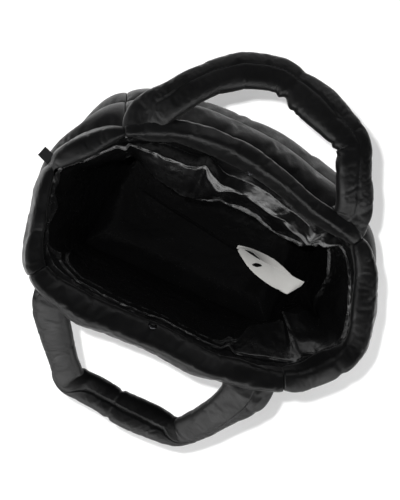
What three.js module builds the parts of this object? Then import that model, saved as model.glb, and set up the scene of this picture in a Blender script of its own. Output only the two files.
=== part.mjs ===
import * as THREE from 'three';

// Mini puffer tote, standing on its base with the mouth open and both handles flopped outwards.
// Millimetres. +Z is up, +X runs along the front from left to right, +Y goes from front to back.
// The origin is the middle of the underside.

// Body sizes
const BASE_HALF_WIDTH = 143;
const BASE_HALF_DEPTH = 98;
const BASE_BOW = 4;
const BASE_EDGE_HEIGHT = 6;
const BASE_THICKNESS = 8;
const MIDDLE_HALF_WIDTH = 148;
const MIDDLE_HALF_DEPTH = 104;
const MIDDLE_HEIGHT = 116;

// Padding sizes
const CHANNEL_COUNT = 3;
const OUTER_PUFF = 18;
const INNER_PUFF = 7;
const SEAM_HALF_THICKNESS = 1.5;
const STITCH_DEPTH = 0.22;
const BAND_HALF_HEIGHT = 16;
const BAND_PINCH = 0.72;
const CLEARANCE = 0.4;

// Lining sizes
const LINING_THICKNESS = 1.2;
const LINING_TOP_DROP = 9;
const LINING_FLOOR_INSET = 15;
const LINING_FOOT_HEIGHT = 15;
const LINING_LOWER_BOW = 4;

// Small trim
const SNAP_RADIUS = 5;
const SNAP_HEIGHT = 2.4;
const TAG_WIDTH = 12;
const TAG_LENGTH = 15;
const TAG_TAPE = 0.7;
const TAG_GAP = 0.6;
const LABEL_THICKNESS = 0.8;

// Resolution
const STEPS_ALONG_PANEL = 14;
const STEPS_PER_CHANNEL = 6;
const STEPS_ALONG_BAND = 18;
const STEPS_ALONG_HANDLE = 36;
const OVAL_STEPS = 12;
const STEPS_AROUND_LINING = 84;
const STEPS_ALONG_LABEL = 30;

// The sides of the body in order round the bag, seen from above anticlockwise.
// middleBow is how far the side swells out of straight halfway up.
const SIDES = [
  { name: 'front', middleBow: 8 },
  { name: 'right', middleBow: 32 },
  { name: 'back', middleBow: 26 },
  { name: 'left', middleBow: 30 },
];
const STATIONS_PER_SIDE = 4;

// The middle line of the padded band at the mouth, four stations to a side from its first corner.
const RIM_STATIONS = [
  { at: 'front left corner', x: -149, y: -102, z: 222, thick: 18 },
  { at: 'front left handle', x: -84, y: -117, z: 224, thick: 22 },
  { at: 'front middle', x: -4, y: -115, z: 219, thick: 22 },
  { at: 'front right handle', x: 72, y: -116, z: 224, thick: 22 },
  { at: 'front right corner', x: 141, y: -98, z: 221, thick: 18 },
  { at: 'right near half', x: 172, y: -72, z: 217, thick: 17 },
  { at: 'right fold', x: 195, y: -34, z: 214, thick: 14 },
  { at: 'right far half', x: 177, y: 24, z: 218, thick: 16 },
  { at: 'back right corner', x: 146, y: 70, z: 222, thick: 17 },
  { at: 'back right handle', x: 82, y: 82, z: 224, thick: 18 },
  { at: 'back middle', x: 18, y: 97, z: 220, thick: 18 },
  { at: 'back left handle', x: -58, y: 97, z: 224, thick: 18 },
  { at: 'back left corner', x: -125, y: 72, z: 222, thick: 17 },
  { at: 'left far half', x: -157, y: 40, z: 218, thick: 18 },
  { at: 'left fold', x: -183, y: 3, z: 214, thick: 14 },
  { at: 'left near half', x: -173, y: -52, z: 218, thick: 16 },
];

// The hanging lining by place round the bag: inset from the band's line and drop below it of its crest and of
// its belly, and how far the cloth behind the crest lies below the crest.
const LINING_ROWS = [
  { at: 'front left corner', around: 0, crest: 17, drop: 22, hollow: 2, belly: 22, fall: 44 },
  { at: 'front left', around: 0.05, crest: 15.5, drop: 16, hollow: 1, belly: 18, fall: 28 },
  { at: 'front right', around: 0.18, crest: 15.5, drop: 16, hollow: 1, belly: 19, fall: 32 },
  { at: 'front tuck', around: 0.192, crest: 22, drop: 19, hollow: 3, belly: 26, fall: 40 },
  { at: 'front end', around: 0.204, crest: 15.5, drop: 16, hollow: 1, belly: 20, fall: 34 },
  { at: 'front right corner', around: 0.255, crest: 16.5, drop: 17, hollow: 1, belly: 22, fall: 40 },
  { at: 'right tuck', around: 0.298, crest: 23, drop: 27, hollow: 4, belly: 28, fall: 66 },
  { at: 'right near', around: 0.32, crest: 15, drop: 21, hollow: 2, belly: 26, fall: 76 },
  { at: 'right bulge', around: 0.347, crest: 15, drop: 21, hollow: 2, belly: 30, fall: 94 },
  { at: 'right fold', around: 0.375, crest: 15, drop: 21, hollow: 1, belly: 30, fall: 94 },
  { at: 'right far', around: 0.44, crest: 14, drop: 25, hollow: 3, belly: 22, fall: 80 },
  { at: 'back right corner', around: 0.5, crest: 18, drop: 30, hollow: 5, belly: 26, fall: 70 },
  { at: 'ledge start', around: 0.527, crest: 27, drop: 36, hollow: -6, belly: 36, fall: 66 },
  { at: 'ledge right', around: 0.557, crest: 29, drop: 36, hollow: -10, belly: 44, fall: 64 },
  { at: 'ledge middle', around: 0.586, crest: 35, drop: 35.5, hollow: -11, belly: 48, fall: 62 },
  { at: 'ledge left', around: 0.62, crest: 39, drop: 32.5, hollow: -10, belly: 54, fall: 60 },
  { at: 'ledge end', around: 0.638, crest: 40, drop: 34.5, hollow: 0, belly: 55, fall: 64 },
  { at: 'notch start', around: 0.66, crest: 33, drop: 36, hollow: 6, belly: 57, fall: 78 },
  { at: 'notch', around: 0.668, crest: 25, drop: 34, hollow: 7, belly: 58, fall: 84 },
  { at: 'back left ridge', around: 0.688, crest: 33, drop: 34, hollow: 9, belly: 60, fall: 88 },
  { at: 'back left', around: 0.723, crest: 24, drop: 29, hollow: 6, belly: 46, fall: 84 },
  { at: 'back left corner', around: 0.75, crest: 14, drop: 22, hollow: 2, belly: 28, fall: 80 },
  { at: 'left far', around: 0.8, crest: 13.5, drop: 17, hollow: 1, belly: 24, fall: 90 },
  { at: 'left bulge', around: 0.83, crest: 13, drop: 16, hollow: 1, belly: 24, fall: 96 },
  { at: 'left fold', around: 0.864, crest: 10, drop: 15, hollow: 1, belly: 18, fall: 84 },
  { at: 'left tuck', around: 0.886, crest: 14, drop: 23, hollow: 2, belly: 17, fall: 60 },
  { at: 'left near tuck', around: 0.923, crest: 15, drop: 32, hollow: 3, belly: 19, fall: 66 },
  { at: 'left near', around: 0.97, crest: 15.5, drop: 26, hollow: 2, belly: 20, fall: 50 },
  { at: 'left end', around: 0.988, crest: 20, drop: 33, hollow: 4, belly: 24, fall: 50 },
];

// Middle lines of the handles. width lies along the strap's flat, roll turns the flat about the line.
const FRONT_HANDLE = [
  { at: 'left foot', x: -126.6, y: -121.9, z: 228, width: 28, thick: 14, roll: 0 },
  { at: 'left stem', x: -127.4, y: -127.6, z: 229.6, width: 36, thick: 17, roll: 0 },
  { at: 'left shoulder', x: -125, y: -137.5, z: 229.5, width: 41, thick: 20, roll: 0 },
  { at: 'left leg', x: -112, y: -155, z: 218, width: 38, thick: 23, roll: 6 },
  { at: 'left lower leg', x: -92, y: -186, z: 196, width: 36, thick: 24, roll: 10 },
  { at: 'left elbow', x: -70, y: -213, z: 177, width: 36, thick: 22, roll: 14 },
  { at: 'grip left', x: -40, y: -221.5, z: 170, width: 38, thick: 24, roll: 16 },
  { at: 'grip middle', x: 0, y: -226, z: 168, width: 39, thick: 24, roll: 18 },
  { at: 'grip right', x: 38, y: -227, z: 170, width: 38, thick: 24, roll: 16 },
  { at: 'right elbow', x: 70, y: -221.5, z: 178, width: 36, thick: 22, roll: 12 },
  { at: 'right lower leg', x: 86.5, y: -198, z: 194, width: 36, thick: 24, roll: 8 },
  { at: 'right leg', x: 100, y: -166, z: 214, width: 38, thick: 23, roll: 6 },
  { at: 'right shoulder', x: 110.5, y: -138, z: 229.5, width: 41, thick: 20, roll: 0 },
  { at: 'right stem', x: 112.6, y: -126.4, z: 229.6, width: 37, thick: 17, roll: 0 },
  { at: 'right foot', x: 111.1, y: -119.6, z: 228, width: 29, thick: 14, roll: 0 },
];
const BACK_HANDLE = [
  { at: 'right foot', x: 128.2, y: 85.5, z: 228, width: 28, thick: 13, roll: 0 },
  { at: 'right stem', x: 129.2, y: 91.7, z: 229.8, width: 34, thick: 16, roll: 0 },
  { at: 'right shoulder', x: 127.4, y: 101, z: 234.5, width: 38, thick: 19, roll: -2 },
  { at: 'right leg', x: 118, y: 117, z: 242.5, width: 36, thick: 22, roll: -6 },
  { at: 'right upper leg', x: 105.5, y: 138, z: 248, width: 35, thick: 23, roll: -10 },
  { at: 'right elbow', x: 93, y: 158, z: 246.5, width: 35, thick: 22, roll: -14 },
  { at: 'grip far right', x: 66, y: 172, z: 240, width: 37, thick: 24, roll: -18 },
  { at: 'grip right', x: 30, y: 184.5, z: 233.5, width: 38, thick: 24, roll: -22 },
  { at: 'grip bend', x: -3, y: 190.5, z: 231, width: 36, thick: 22, roll: -24 },
  { at: 'grip left', x: -36, y: 180.5, z: 232, width: 36, thick: 24, roll: -24 },
  { at: 'left elbow', x: -64, y: 160.5, z: 236.5, width: 36, thick: 24, roll: -18 },
  { at: 'left upper leg', x: -80.5, y: 141, z: 242, width: 36, thick: 23, roll: -12 },
  { at: 'left leg', x: -95, y: 121.5, z: 243.5, width: 36, thick: 22, roll: -6 },
  { at: 'left shoulder', x: -106.5, y: 106, z: 235.5, width: 38, thick: 19, roll: -2 },
  { at: 'left stem', x: -109.2, y: 97.2, z: 229.8, width: 34, thick: 16, roll: 0 },
  { at: 'left foot', x: -107, y: 91.3, z: 228, width: 28, thick: 13, roll: 0 },
];

// The folded label's tape, from the seam in the lining floor out to its fold and back.
const LABEL_PATH = [
  { at: 'under layer foot', x: 56, y: -6, z: 10.4, width: 18 },
  { at: 'under layer middle', x: 97, y: -5, z: 38, width: 27 },
  { at: 'under layer end', x: 135, y: -13, z: 63, width: 28 },
  { at: 'fold', x: 142, y: -17, z: 70, width: 27 },
  { at: 'upper layer end', x: 135, y: -19.5, z: 70, width: 27 },
  { at: 'upper layer middle', x: 96, y: -14.5, z: 48, width: 28 },
  { at: 'upper layer foot', x: 57, y: -9, z: 17.5, width: 18 },
];

const SIDE_COUNT = SIDES.length;
const STATION_COUNT = RIM_STATIONS.length;
const UP = new THREE.Vector3(0, 0, 1);

// A closed solid from a stack of rings of equal, even length; both ends are closed by a strip of quads
// that joins each point of the ring to the one opposite.
function loftSolid(rings) {
  const size = rings[0].length;
  const positions = rings.flat().flatMap((point) => [point.x, point.y, point.z]);
  const index = [];
  for (let row = 0; row < rings.length - 1; row += 1) {
    for (let column = 0; column < size; column += 1) {
      const a = row * size + column;
      const b = row * size + ((column + 1) % size);
      index.push(a, b, b + size, a, b + size, a + size);
    }
  }
  const top = (rings.length - 1) * size;
  for (let column = 0; column < size / 2 - 1; column += 1) {
    const a = column;
    const b = column + 1;
    const c = size - 2 - column;
    const d = size - 1 - column;
    index.push(a, c, b, a, d, c);
    index.push(top + a, top + b, top + c, top + a, top + c, top + d);
  }
  const geometry = new THREE.BufferGeometry();
  geometry.setAttribute('position', new THREE.Float32BufferAttribute(positions, 3));
  geometry.setIndex(index);
  geometry.computeVertexNormals();
  return geometry;
}

// A point of a bowed rectangle at a station counted round the bag from the front left corner.
function bowedRectangle(station, halfWidth, halfDepth, height, bowOf) {
  const side = Math.floor(station / STATIONS_PER_SIDE);
  const share = (station % STATIONS_PER_SIDE) / STATIONS_PER_SIDE;
  const corners = [[-1, -1], [1, -1], [1, 1], [-1, 1]];
  const [ax, ay] = corners[side];
  const [bx, by] = corners[(side + 1) % SIDE_COUNT];
  const bow = bowOf(SIDES[side]) * 4 * share * (1 - share);
  const x = THREE.MathUtils.lerp(ax, bx, share) * halfWidth + Math.sign(by - ay) * bow;
  const y = THREE.MathUtils.lerp(ay, by, share) * halfDepth - Math.sign(bx - ax) * bow;
  return new THREE.Vector3(x, y, height);
}

function closedCurve(points) {
  return new THREE.CatmullRomCurve3(points, true, 'catmullrom', 0.5);
}

const stations = Array.from({ length: STATION_COUNT }, (_, station) => station);
const baseCurve = closedCurve(stations.map((station) => bowedRectangle(
  station, BASE_HALF_WIDTH, BASE_HALF_DEPTH, BASE_EDGE_HEIGHT, () => BASE_BOW)));
const middleCurve = closedCurve(stations.map((station) => bowedRectangle(
  station, MIDDLE_HALF_WIDTH, MIDDLE_HALF_DEPTH, MIDDLE_HEIGHT, (side) => side.middleBow)));
const rimCurve = closedCurve(RIM_STATIONS.map((row) => new THREE.Vector3(row.x, row.y, row.z)));
const thickCurve = closedCurve(RIM_STATIONS.map((row) => new THREE.Vector3(row.thick, 0, 0)));

function wrap(around) {
  return ((around % 1) + 1) % 1;
}

// The middle surface of the walls: a parabola in height through the base edge, the middle and the
// seam under the band. around runs once round the bag, up runs from 0 at the base to 1 at the seam.
function wallPoint(around, up) {
  const share = wrap(around);
  const base = baseCurve.getPoint(share);
  const middle = middleCurve.getPoint(share);
  const seam = rimCurve.getPoint(share);
  seam.z -= BAND_HALF_HEIGHT + CLEARANCE;
  return base.multiplyScalar((1 - up) * (1 - 2 * up))
    .addScaledVector(middle, 4 * up * (1 - up))
    .addScaledVector(seam, up * (2 * up - 1));
}

// The outward direction of the middle surface, from central differences, turned level under the band.
function wallNormal(around, up) {
  const step = 0.008;
  const along = wallPoint(around + step, up).sub(wallPoint(around - step, up));
  const rise = wallPoint(around, up + step).sub(wallPoint(around, up - step));
  return along.cross(rise).normalize().lerp(rimNormal(around), up ** 8).normalize();
}

// The level outward direction at the band.
function rimNormal(around) {
  const step = 0.008;
  const along = rimCurve.getPoint(wrap(around + step)).sub(rimCurve.getPoint(wrap(around - step)));
  along.z = 0;
  return along.cross(UP).normalize();
}

function bandHalfThickness(around) {
  return thickCurve.getPoint(wrap(around)).x / 2;
}

// How full the padding is between two seams: 0 on the seams and 1 over most of the width.
function fullness(share, power) {
  return 1 - Math.abs(2 * share - 1) ** power;
}

// How full a quilted wall is at a height, dipping to STITCH_DEPTH on the lines between channels.
function channelFullness(up) {
  const wave = Math.abs(Math.sin(Math.PI * CHANNEL_COUNT * up)) ** 0.6;
  const ends = fullness(up, 10);
  return ends * (STITCH_DEPTH + (1 - STITCH_DEPTH) * wave);
}

function innerDepth(share, up) {
  return SEAM_HALF_THICKNESS + INNER_PUFF * fullness(share, 6) * fullness(up, 6);
}

// One quilted wall: a pillow between its two side seams, from the base edge up to the band.
function quiltedWall(side) {
  const first = side / SIDE_COUNT;
  const length = curveLength(rimCurve, first, first + 1 / SIDE_COUNT);
  const gap = CLEARANCE / length / 2;
  const levels = CHANNEL_COUNT * STEPS_PER_CHANNEL;
  const rings = [];
  for (let level = 0; level <= levels; level += 1) {
    const up = level / levels;
    const outer = [];
    const inner = [];
    for (let step = 0; step <= STEPS_ALONG_PANEL; step += 1) {
      const share = step / STEPS_ALONG_PANEL;
      const spread = 0.5 - 0.5 * Math.cos(Math.PI * share);
      const eased = THREE.MathUtils.lerp(share, spread, 0.5);
      const around = first + THREE.MathUtils.lerp(gap, 1 - gap, eased) / SIDE_COUNT;
      const point = wallPoint(around, up);
      const normal = wallNormal(around, up);
      const puff = SEAM_HALF_THICKNESS + OUTER_PUFF * fullness(eased, 6) * channelFullness(up);
      outer.push(point.clone().addScaledVector(normal, puff));
      inner.push(point.clone().addScaledVector(normal, -innerDepth(eased, up)));
    }
    rings.push([...outer, ...inner.reverse()]);
  }
  return loftSolid(rings);
}

function curveLength(curve, from, to) {
  const steps = 40;
  let length = 0;
  for (let step = 0; step < steps; step += 1) {
    const a = curve.getPoint(wrap(THREE.MathUtils.lerp(from, to, step / steps)));
    const b = curve.getPoint(wrap(THREE.MathUtils.lerp(from, to, (step + 1) / steps)));
    length += a.distanceTo(b);
  }
  return length;
}

// An oval ring about a centre, spanned by two half axes.
function ovalRing(centre, halfAcross, halfUp) {
  const ring = [];
  for (let step = 0; step < OVAL_STEPS; step += 1) {
    const angle = (2 * Math.PI * (step + 0.5)) / OVAL_STEPS;
    ring.push(centre.clone()
      .addScaledVector(halfAcross, Math.cos(angle))
      .addScaledVector(halfUp, Math.sin(angle)));
  }
  return ring;
}

// One side of the padded band at the mouth: an oval drawn in at the corner seams.
function rimBand(side) {
  const first = side / SIDE_COUNT;
  const length = curveLength(rimCurve, first, first + 1 / SIDE_COUNT);
  const gap = CLEARANCE / length / 2;
  const rings = [];
  for (let step = 0; step <= STEPS_ALONG_BAND; step += 1) {
    const share = step / STEPS_ALONG_BAND;
    const around = first + THREE.MathUtils.lerp(gap, 1 - gap, share) / SIDE_COUNT;
    const full = THREE.MathUtils.lerp(BAND_PINCH, 1, fullness(share, 8));
    const across = rimNormal(around).multiplyScalar(-bandHalfThickness(around) * full);
    const high = UP.clone().multiplyScalar(BAND_HALF_HEIGHT * full);
    rings.push(ovalRing(rimCurve.getPoint(wrap(around)), across, high));
  }
  return loftSolid(rings);
}

// A strap as rings along the middle line through its rows: levelOf gives the level direction across the
// line, the row's roll turns it, and ringOf makes the outline from the two half axes.
function sweptStrap(rows, steps, levelOf, ringOf) {
  const line = new THREE.CatmullRomCurve3(rows.map((row) => new THREE.Vector3(row.x, row.y, row.z)));
  const sizes = new THREE.CatmullRomCurve3(rows.map((row) => new THREE.Vector3(row.width, row.thick, row.roll)));
  const rings = [];
  for (let step = 0; step <= steps; step += 1) {
    const share = step / steps;
    const tangent = line.getTangent(share);
    const size = sizes.getPoint(share);
    const across = levelOf(tangent).normalize();
    across.applyAxisAngle(tangent, THREE.MathUtils.degToRad(size.z));
    const high = tangent.clone().cross(across).normalize();
    rings.push(ringOf(line.getPoint(share), across.multiplyScalar(size.x / 2), high.multiplyScalar(size.y / 2)));
  }
  return loftSolid(rings);
}

function paddedHandle(rows) {
  return sweptStrap(rows, STEPS_ALONG_HANDLE, (tangent) => UP.clone().cross(tangent), ovalRing);
}

// The underside: a flat padded slab inside the lower edge of the walls.
function baseSlab() {
  const profile = [
    { inset: 11, z: 0 },
    { inset: 4, z: 2.5 },
    { inset: 2.4, z: 5 },
    { inset: 6, z: BASE_THICKNESS },
  ];
  return loftSolid(profile.map(({ inset, z }) => levelRing(inset, z)));
}

// A level ring that follows the base edge at an inset.
function levelRing(inset, z) {
  const ring = [];
  for (let step = 0; step < STEPS_AROUND_LINING; step += 1) {
    const around = step / STEPS_AROUND_LINING;
    const normal = wallNormal(around, 0);
    normal.z = 0;
    const point = wallPoint(around, 0).addScaledVector(normal.normalize(), -inset);
    point.z = z;
    ring.push(point);
  }
  return ring;
}

// The row of the lining at a place round the bag, straight between the rows on either side of it.
function liningRow(around) {
  const next = LINING_ROWS.findIndex((row) => row.around > around);
  const end = next < 0 ? { ...LINING_ROWS[0], around: 1 } : LINING_ROWS[next];
  const start = LINING_ROWS[(next < 0 ? LINING_ROWS.length : next) - 1];
  const share = (around - start.around) / (end.around - start.around);
  const between = (name) => THREE.MathUtils.lerp(start[name], end[name], share);
  return {
    crest: between('crest'), drop: between('drop'), hollow: between('hollow'), belly: between('belly'), fall: between('fall'),
  };
}

// A ring of the lining inside the band's line and below it. placeOf gives the inset and the drop at a place round
// the bag; within moves the ring in and up through the cloth.
function liningRing(within, placeOf) {
  const ring = [];
  for (let step = 0; step < STEPS_AROUND_LINING; step += 1) {
    const around = step / STEPS_AROUND_LINING;
    const { inset, drop } = placeOf(liningRow(around), bandHalfThickness(around));
    const point = rimCurve.getPoint(around).addScaledVector(rimNormal(around), -inset - within);
    point.z += within - drop;
    ring.push(point);
  }
  return ring;
}

// The rings of one face of the lining from its floor up to its edge, which is tucked against the band.
function liningFace(within) {
  const floor = BASE_THICKNESS + CLEARANCE + within;
  const tuck = Math.sqrt(1 - (LINING_TOP_DROP / BAND_HALF_HEIGHT) ** 2);
  const foot = levelRing(LINING_FLOOR_INSET + 1 + within, LINING_FOOT_HEIGHT + within);
  const belly = liningRing(within, (row) => ({ inset: row.belly, drop: row.fall }));
  return [
    levelRing(LINING_FLOOR_INSET + within, floor),
    foot,
    foot.map((point, step) => point.clone().lerp(belly[step], 0.5)
      .addScaledVector(rimNormal(step / STEPS_AROUND_LINING), LINING_LOWER_BOW)),
    belly,
    liningRing(within, (row) => ({ inset: row.crest, drop: row.drop })),
    liningRing(within, (row, half) => ({
      inset: half + 1.5,
      drop: row.drop + Math.min(row.hollow, 0.7 * (row.crest - half - 1.5)),
    })),
    liningRing(within, (row, half) => ({ inset: half * tuck + CLEARANCE, drop: LINING_TOP_DROP + within })),
  ];
}

// The lining: an open cup of thin hanging cloth with a flat floor, its outside first and then its inside.
function liningCup() {
  return loftSolid([...liningFace(0), ...liningFace(LINING_THICKNESS).reverse()]);
}

// A press stud half on the inner face of the band.
function snapHalf(around, rise) {
  const profile = [
    new THREE.Vector2(0, 0),
    new THREE.Vector2(SNAP_RADIUS, 0),
    new THREE.Vector2(SNAP_RADIUS, SNAP_HEIGHT * 0.5),
    new THREE.Vector2(SNAP_RADIUS * 0.55, SNAP_HEIGHT * 0.7),
    new THREE.Vector2(SNAP_RADIUS * 0.45, SNAP_HEIGHT),
    new THREE.Vector2(0, SNAP_HEIGHT),
  ];
  const inwards = rimNormal(around).negate();
  const lean = inwards.clone().multiplyScalar(Math.cos(rise) * BAND_HALF_HEIGHT)
    .addScaledVector(UP, Math.sin(rise) * bandHalfThickness(around)).normalize();
  const seat = rimCurve.getPoint(wrap(around))
    .addScaledVector(inwards, bandHalfThickness(around) * Math.cos(rise))
    .addScaledVector(UP, BAND_HALF_HEIGHT * Math.sin(rise))
    .addScaledVector(lean, CLEARANCE);
  const geometry = new THREE.LatheGeometry(profile, 20);
  geometry.applyQuaternion(new THREE.Quaternion().setFromUnitVectors(new THREE.Vector3(0, 1, 0), lean));
  geometry.translate(seat.x, seat.y, seat.z);
  return geometry;
}

// The side tag: a tape folded back on itself, pointing out from under the band.
function sideTag(around, fall) {
  const outwards = rimNormal(around);
  const along = outwards.clone().cross(UP).negate();
  const lean = outwards.clone().multiplyScalar(Math.cos(fall)).addScaledVector(UP, -Math.sin(fall));
  const high = along.clone().cross(lean).normalize();
  const reach = bandHalfThickness(around) * Math.cos(fall) + CLEARANCE;
  const root = rimCurve.getPoint(wrap(around))
    .addScaledVector(outwards, reach)
    .addScaledVector(UP, -BAND_HALF_HEIGHT * Math.sin(fall));
  const half = TAG_TAPE + TAG_GAP / 2;
  const outline = [
    [0, -half], [TAG_LENGTH - half, -half], [TAG_LENGTH, 0], [TAG_LENGTH - half, half], [0, half],
    [0, TAG_GAP / 2], [TAG_LENGTH - half, TAG_GAP / 2], [TAG_LENGTH - half, -TAG_GAP / 2], [0, -TAG_GAP / 2],
  ];
  const shape = new THREE.Shape(outline.map(([x, y]) => new THREE.Vector2(x, y)));
  const geometry = new THREE.ExtrudeGeometry(shape, { depth: TAG_WIDTH, bevelEnabled: false });
  geometry.translate(0, 0, -TAG_WIDTH / 2);
  const frame = new THREE.Matrix4().makeBasis(lean, high, lean.clone().cross(high));
  geometry.applyMatrix4(frame);
  geometry.translate(root.x, root.y, root.z);
  return geometry;
}

// A flat tape's outline.
function tapeRing(centre, halfAcross, halfUp) {
  return [[1, 1], [-1, 1], [-1, -1], [1, -1]].map(([across, high]) => centre.clone()
    .addScaledVector(halfAcross, across)
    .addScaledVector(halfUp, high));
}

function foldedLabel() {
  const rows = LABEL_PATH.map((row) => ({ ...row, thick: LABEL_THICKNESS, roll: 0 }));
  const across = new THREE.Vector3(0, 1, 0);
  return sweptStrap(rows, STEPS_ALONG_LABEL, (tangent) => across.clone().projectOnPlane(tangent), tapeRing);
}

const PUFFER_COLOUR = 0x17171a;
const LINING_COLOUR = 0x0d0d0f;
const LABEL_COLOUR = 0xe4e1da;
const METAL_COLOUR = 0x55555a;
const group = new THREE.Group();

function addPiece(name, geometry, color, roughness, metalness = 0) {
  const material = new THREE.MeshStandardMaterial({ color, roughness, metalness });
  const mesh = new THREE.Mesh(geometry, material);
  mesh.name = name;
  group.add(mesh);
}

addPiece('front_panel', quiltedWall(0), PUFFER_COLOUR, 0.6);
addPiece('right_gusset', quiltedWall(1), PUFFER_COLOUR, 0.6);
addPiece('back_panel', quiltedWall(2), PUFFER_COLOUR, 0.6);
addPiece('left_gusset', quiltedWall(3), PUFFER_COLOUR, 0.6);
addPiece('base_panel', baseSlab(), PUFFER_COLOUR, 0.65);
addPiece('front_rim', rimBand(0), PUFFER_COLOUR, 0.6);
addPiece('right_rim', rimBand(1), PUFFER_COLOUR, 0.6);
addPiece('back_rim', rimBand(2), PUFFER_COLOUR, 0.6);
addPiece('left_rim', rimBand(3), PUFFER_COLOUR, 0.6);
addPiece('front_handle', paddedHandle(FRONT_HANDLE), PUFFER_COLOUR, 0.6);
addPiece('back_handle', paddedHandle(BACK_HANDLE), PUFFER_COLOUR, 0.6);
addPiece('lining', liningCup(), LINING_COLOUR, 0.35);
addPiece('front_snap', snapHalf(0.118, 0.55), METAL_COLOUR, 0.35, 0.9);
addPiece('back_snap', snapHalf(0.629, -0.2), METAL_COLOUR, 0.35, 0.9);
addPiece('side_tag', sideTag(0.868, 0.3), PUFFER_COLOUR, 0.5);
addPiece('inner_label', foldedLabel(), LABEL_COLOUR, 0.7);

export default group;
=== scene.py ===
"""Mini puffer tote: a quilted bag standing open on its base, with both padded handles flopped outwards."""

import bpy
import numpy as np
from mathutils import Matrix, Vector


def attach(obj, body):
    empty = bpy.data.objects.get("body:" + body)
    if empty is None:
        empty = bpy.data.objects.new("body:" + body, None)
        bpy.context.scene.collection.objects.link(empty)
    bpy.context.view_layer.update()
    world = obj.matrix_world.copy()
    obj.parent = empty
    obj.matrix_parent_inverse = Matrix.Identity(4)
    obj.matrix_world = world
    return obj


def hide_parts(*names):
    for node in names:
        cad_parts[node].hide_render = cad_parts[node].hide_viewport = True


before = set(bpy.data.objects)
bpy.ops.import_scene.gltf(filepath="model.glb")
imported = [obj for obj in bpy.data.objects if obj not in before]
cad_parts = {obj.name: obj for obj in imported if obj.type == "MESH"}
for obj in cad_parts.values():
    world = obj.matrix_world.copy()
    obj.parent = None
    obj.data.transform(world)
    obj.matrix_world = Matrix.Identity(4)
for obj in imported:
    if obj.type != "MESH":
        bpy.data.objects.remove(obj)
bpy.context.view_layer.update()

bl_info = {
    "name": "Mini Puffer Tote",
    "version": (1, 0, 0),
    "blender": (4, 5, 0),
    "location": "View3D > Sidebar > Puffer Tote",
    "description": "Builds a small quilted puffer bag with a loose glossy lining",
    "category": "Object",
}

MM = 0.001
SIDES = ("front", "right", "back", "left")
WALL_NODES = ("front_panel", "right_gusset", "back_panel", "left_gusset")
CHANNELS = 3
SETTLE_FRAMES = 22
SOFT_HOLD = 0.3
SEAM_GAP = 0.0004
UP = np.array((0.0, 0.0, 1.0))


def table(columns, *rows):
    """One array for each named column of a short table."""
    return dict(zip(columns.split(), np.array(rows, float).T))


# How far each side of the body swells out of straight at the base and halfway up, in millimetres
BASE_BOW = 4.0
MIDDLE_BOW = np.array((8.0, 32.0, 26.0, 30.0))

# The middle line of the band's core, four stations to a side from the front left corner, in millimetres.
# thick is the core; wide is the plump band, which stands out further on its outer side; lean is how far its
# top leans in, in degrees.
RIM = table(
    "x y z thick wide lean",
    (-149, -102, 222, 18, 27, 24),
    (-84, -117, 224, 22, 31, 25),
    (-4, -115, 219, 22, 32, 25),
    (72, -116, 224, 22, 31, 25),
    (141, -98, 221, 18, 27, 2),
    (172, -72, 217, 17, 28, -15),
    (195, -34, 214, 14, 26, 16),
    (177, 24, 218, 16, 27, 14),
    (146, 70, 222, 17, 20, 0),
    (82, 82, 224, 18, 21, -22),
    (18, 97, 220, 18, 22, -22),
    (-58, 97, 224, 18, 22, -22),
    (-125, 72, 222, 17, 18, 0),
    (-157, 40, 218, 18, 24, 14),
    (-183, 3, 214, 14, 16, 20),
    (-173, -52, 218, 16, 20, 22),
)

# Middle lines of the handles in millimetres. roll turns the flat about the line; seam is the place of the
# lengthwise seam round the section, from 0 on the loop's inner edge to 90 on top; both in degrees.
FRONT_HANDLE = table(
    "x y z width thick roll seam",
    (-123, -108, 219, 44, 22, 0, 110),
    (-124.5, -120, 221, 43, 20, 0, 120),
    (-124, -132, 219.5, 40, 18, 1, 140),
    (-120, -144, 214.5, 38, 17, 3, 150),
    (-110, -161, 205.5, 37, 17, 5, 152),
    (-92, -189, 191, 36, 17, 6, 152),
    (-73, -216.5, 177, 37, 16, 4, 140),
    (-58, -219.5, 174, 36, 22, -4, 95),
    (-30, -223, 169, 38, 24, -9, 90),
    (0, -226, 168, 39, 24, -9, 90),
    (36, -227, 169.5, 38, 24, -9, 90),
    (58, -227, 173.5, 36, 22, -4, 92),
    (72, -222.5, 178, 38, 16, 4, 125),
    (89, -193, 193.5, 38, 17, 4, 135),
    (101, -164, 207.5, 42, 17, 3, 120),
    (108.5, -146, 215, 48, 18, 1, 110),
    (111.5, -133, 219.5, 55, 19, 0, 103),
    (111, -120, 221, 58, 20, 0, 100),
    (108.5, -108, 219, 58, 22, 0, 100),
)
BACK_HANDLE = table(
    "x y z width thick roll seam",
    (126.5, 74.5, 223, 48, 22, 0, 90),
    (128.5, 86, 226.5, 46, 21, 0, 90),
    (128.5, 97, 231, 41, 20, 0, 90),
    (122.5, 109, 236, 37, 21, 4, 90),
    (112, 126, 242, 36, 22, 5, 92),
    (103, 143, 245.5, 36, 22, 5, 94),
    (94, 158.5, 246.5, 36, 19, 5, 95),
    (80, 167, 243.5, 38, 22, 5, 95),
    (66, 172, 240, 40, 24, 5, 95),
    (40, 181, 235.5, 42, 24, 5, 98),
    (14, 188.5, 232, 38, 22, 5, 100),
    (-2, 191.5, 231, 36, 20, 5, 100),
    (-18, 187.5, 231, 36, 22, 5, 102),
    (-40, 178.5, 232.5, 36, 24, 5, 102),
    (-64, 160.5, 235, 36, 24, 6, 100),
    (-80.5, 141, 237.5, 36, 23, 6, 98),
    (-94, 121.5, 237, 37, 22, 6, 95),
    (-103.5, 108.5, 232.5, 42, 21, 6, 92),
    (-107.5, 97, 228.5, 47, 21, 4, 90),
    (-106, 89, 226, 52, 21, 0, 90),
    (-101, 78.5, 223, 55, 22, 0, 90),
)

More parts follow.
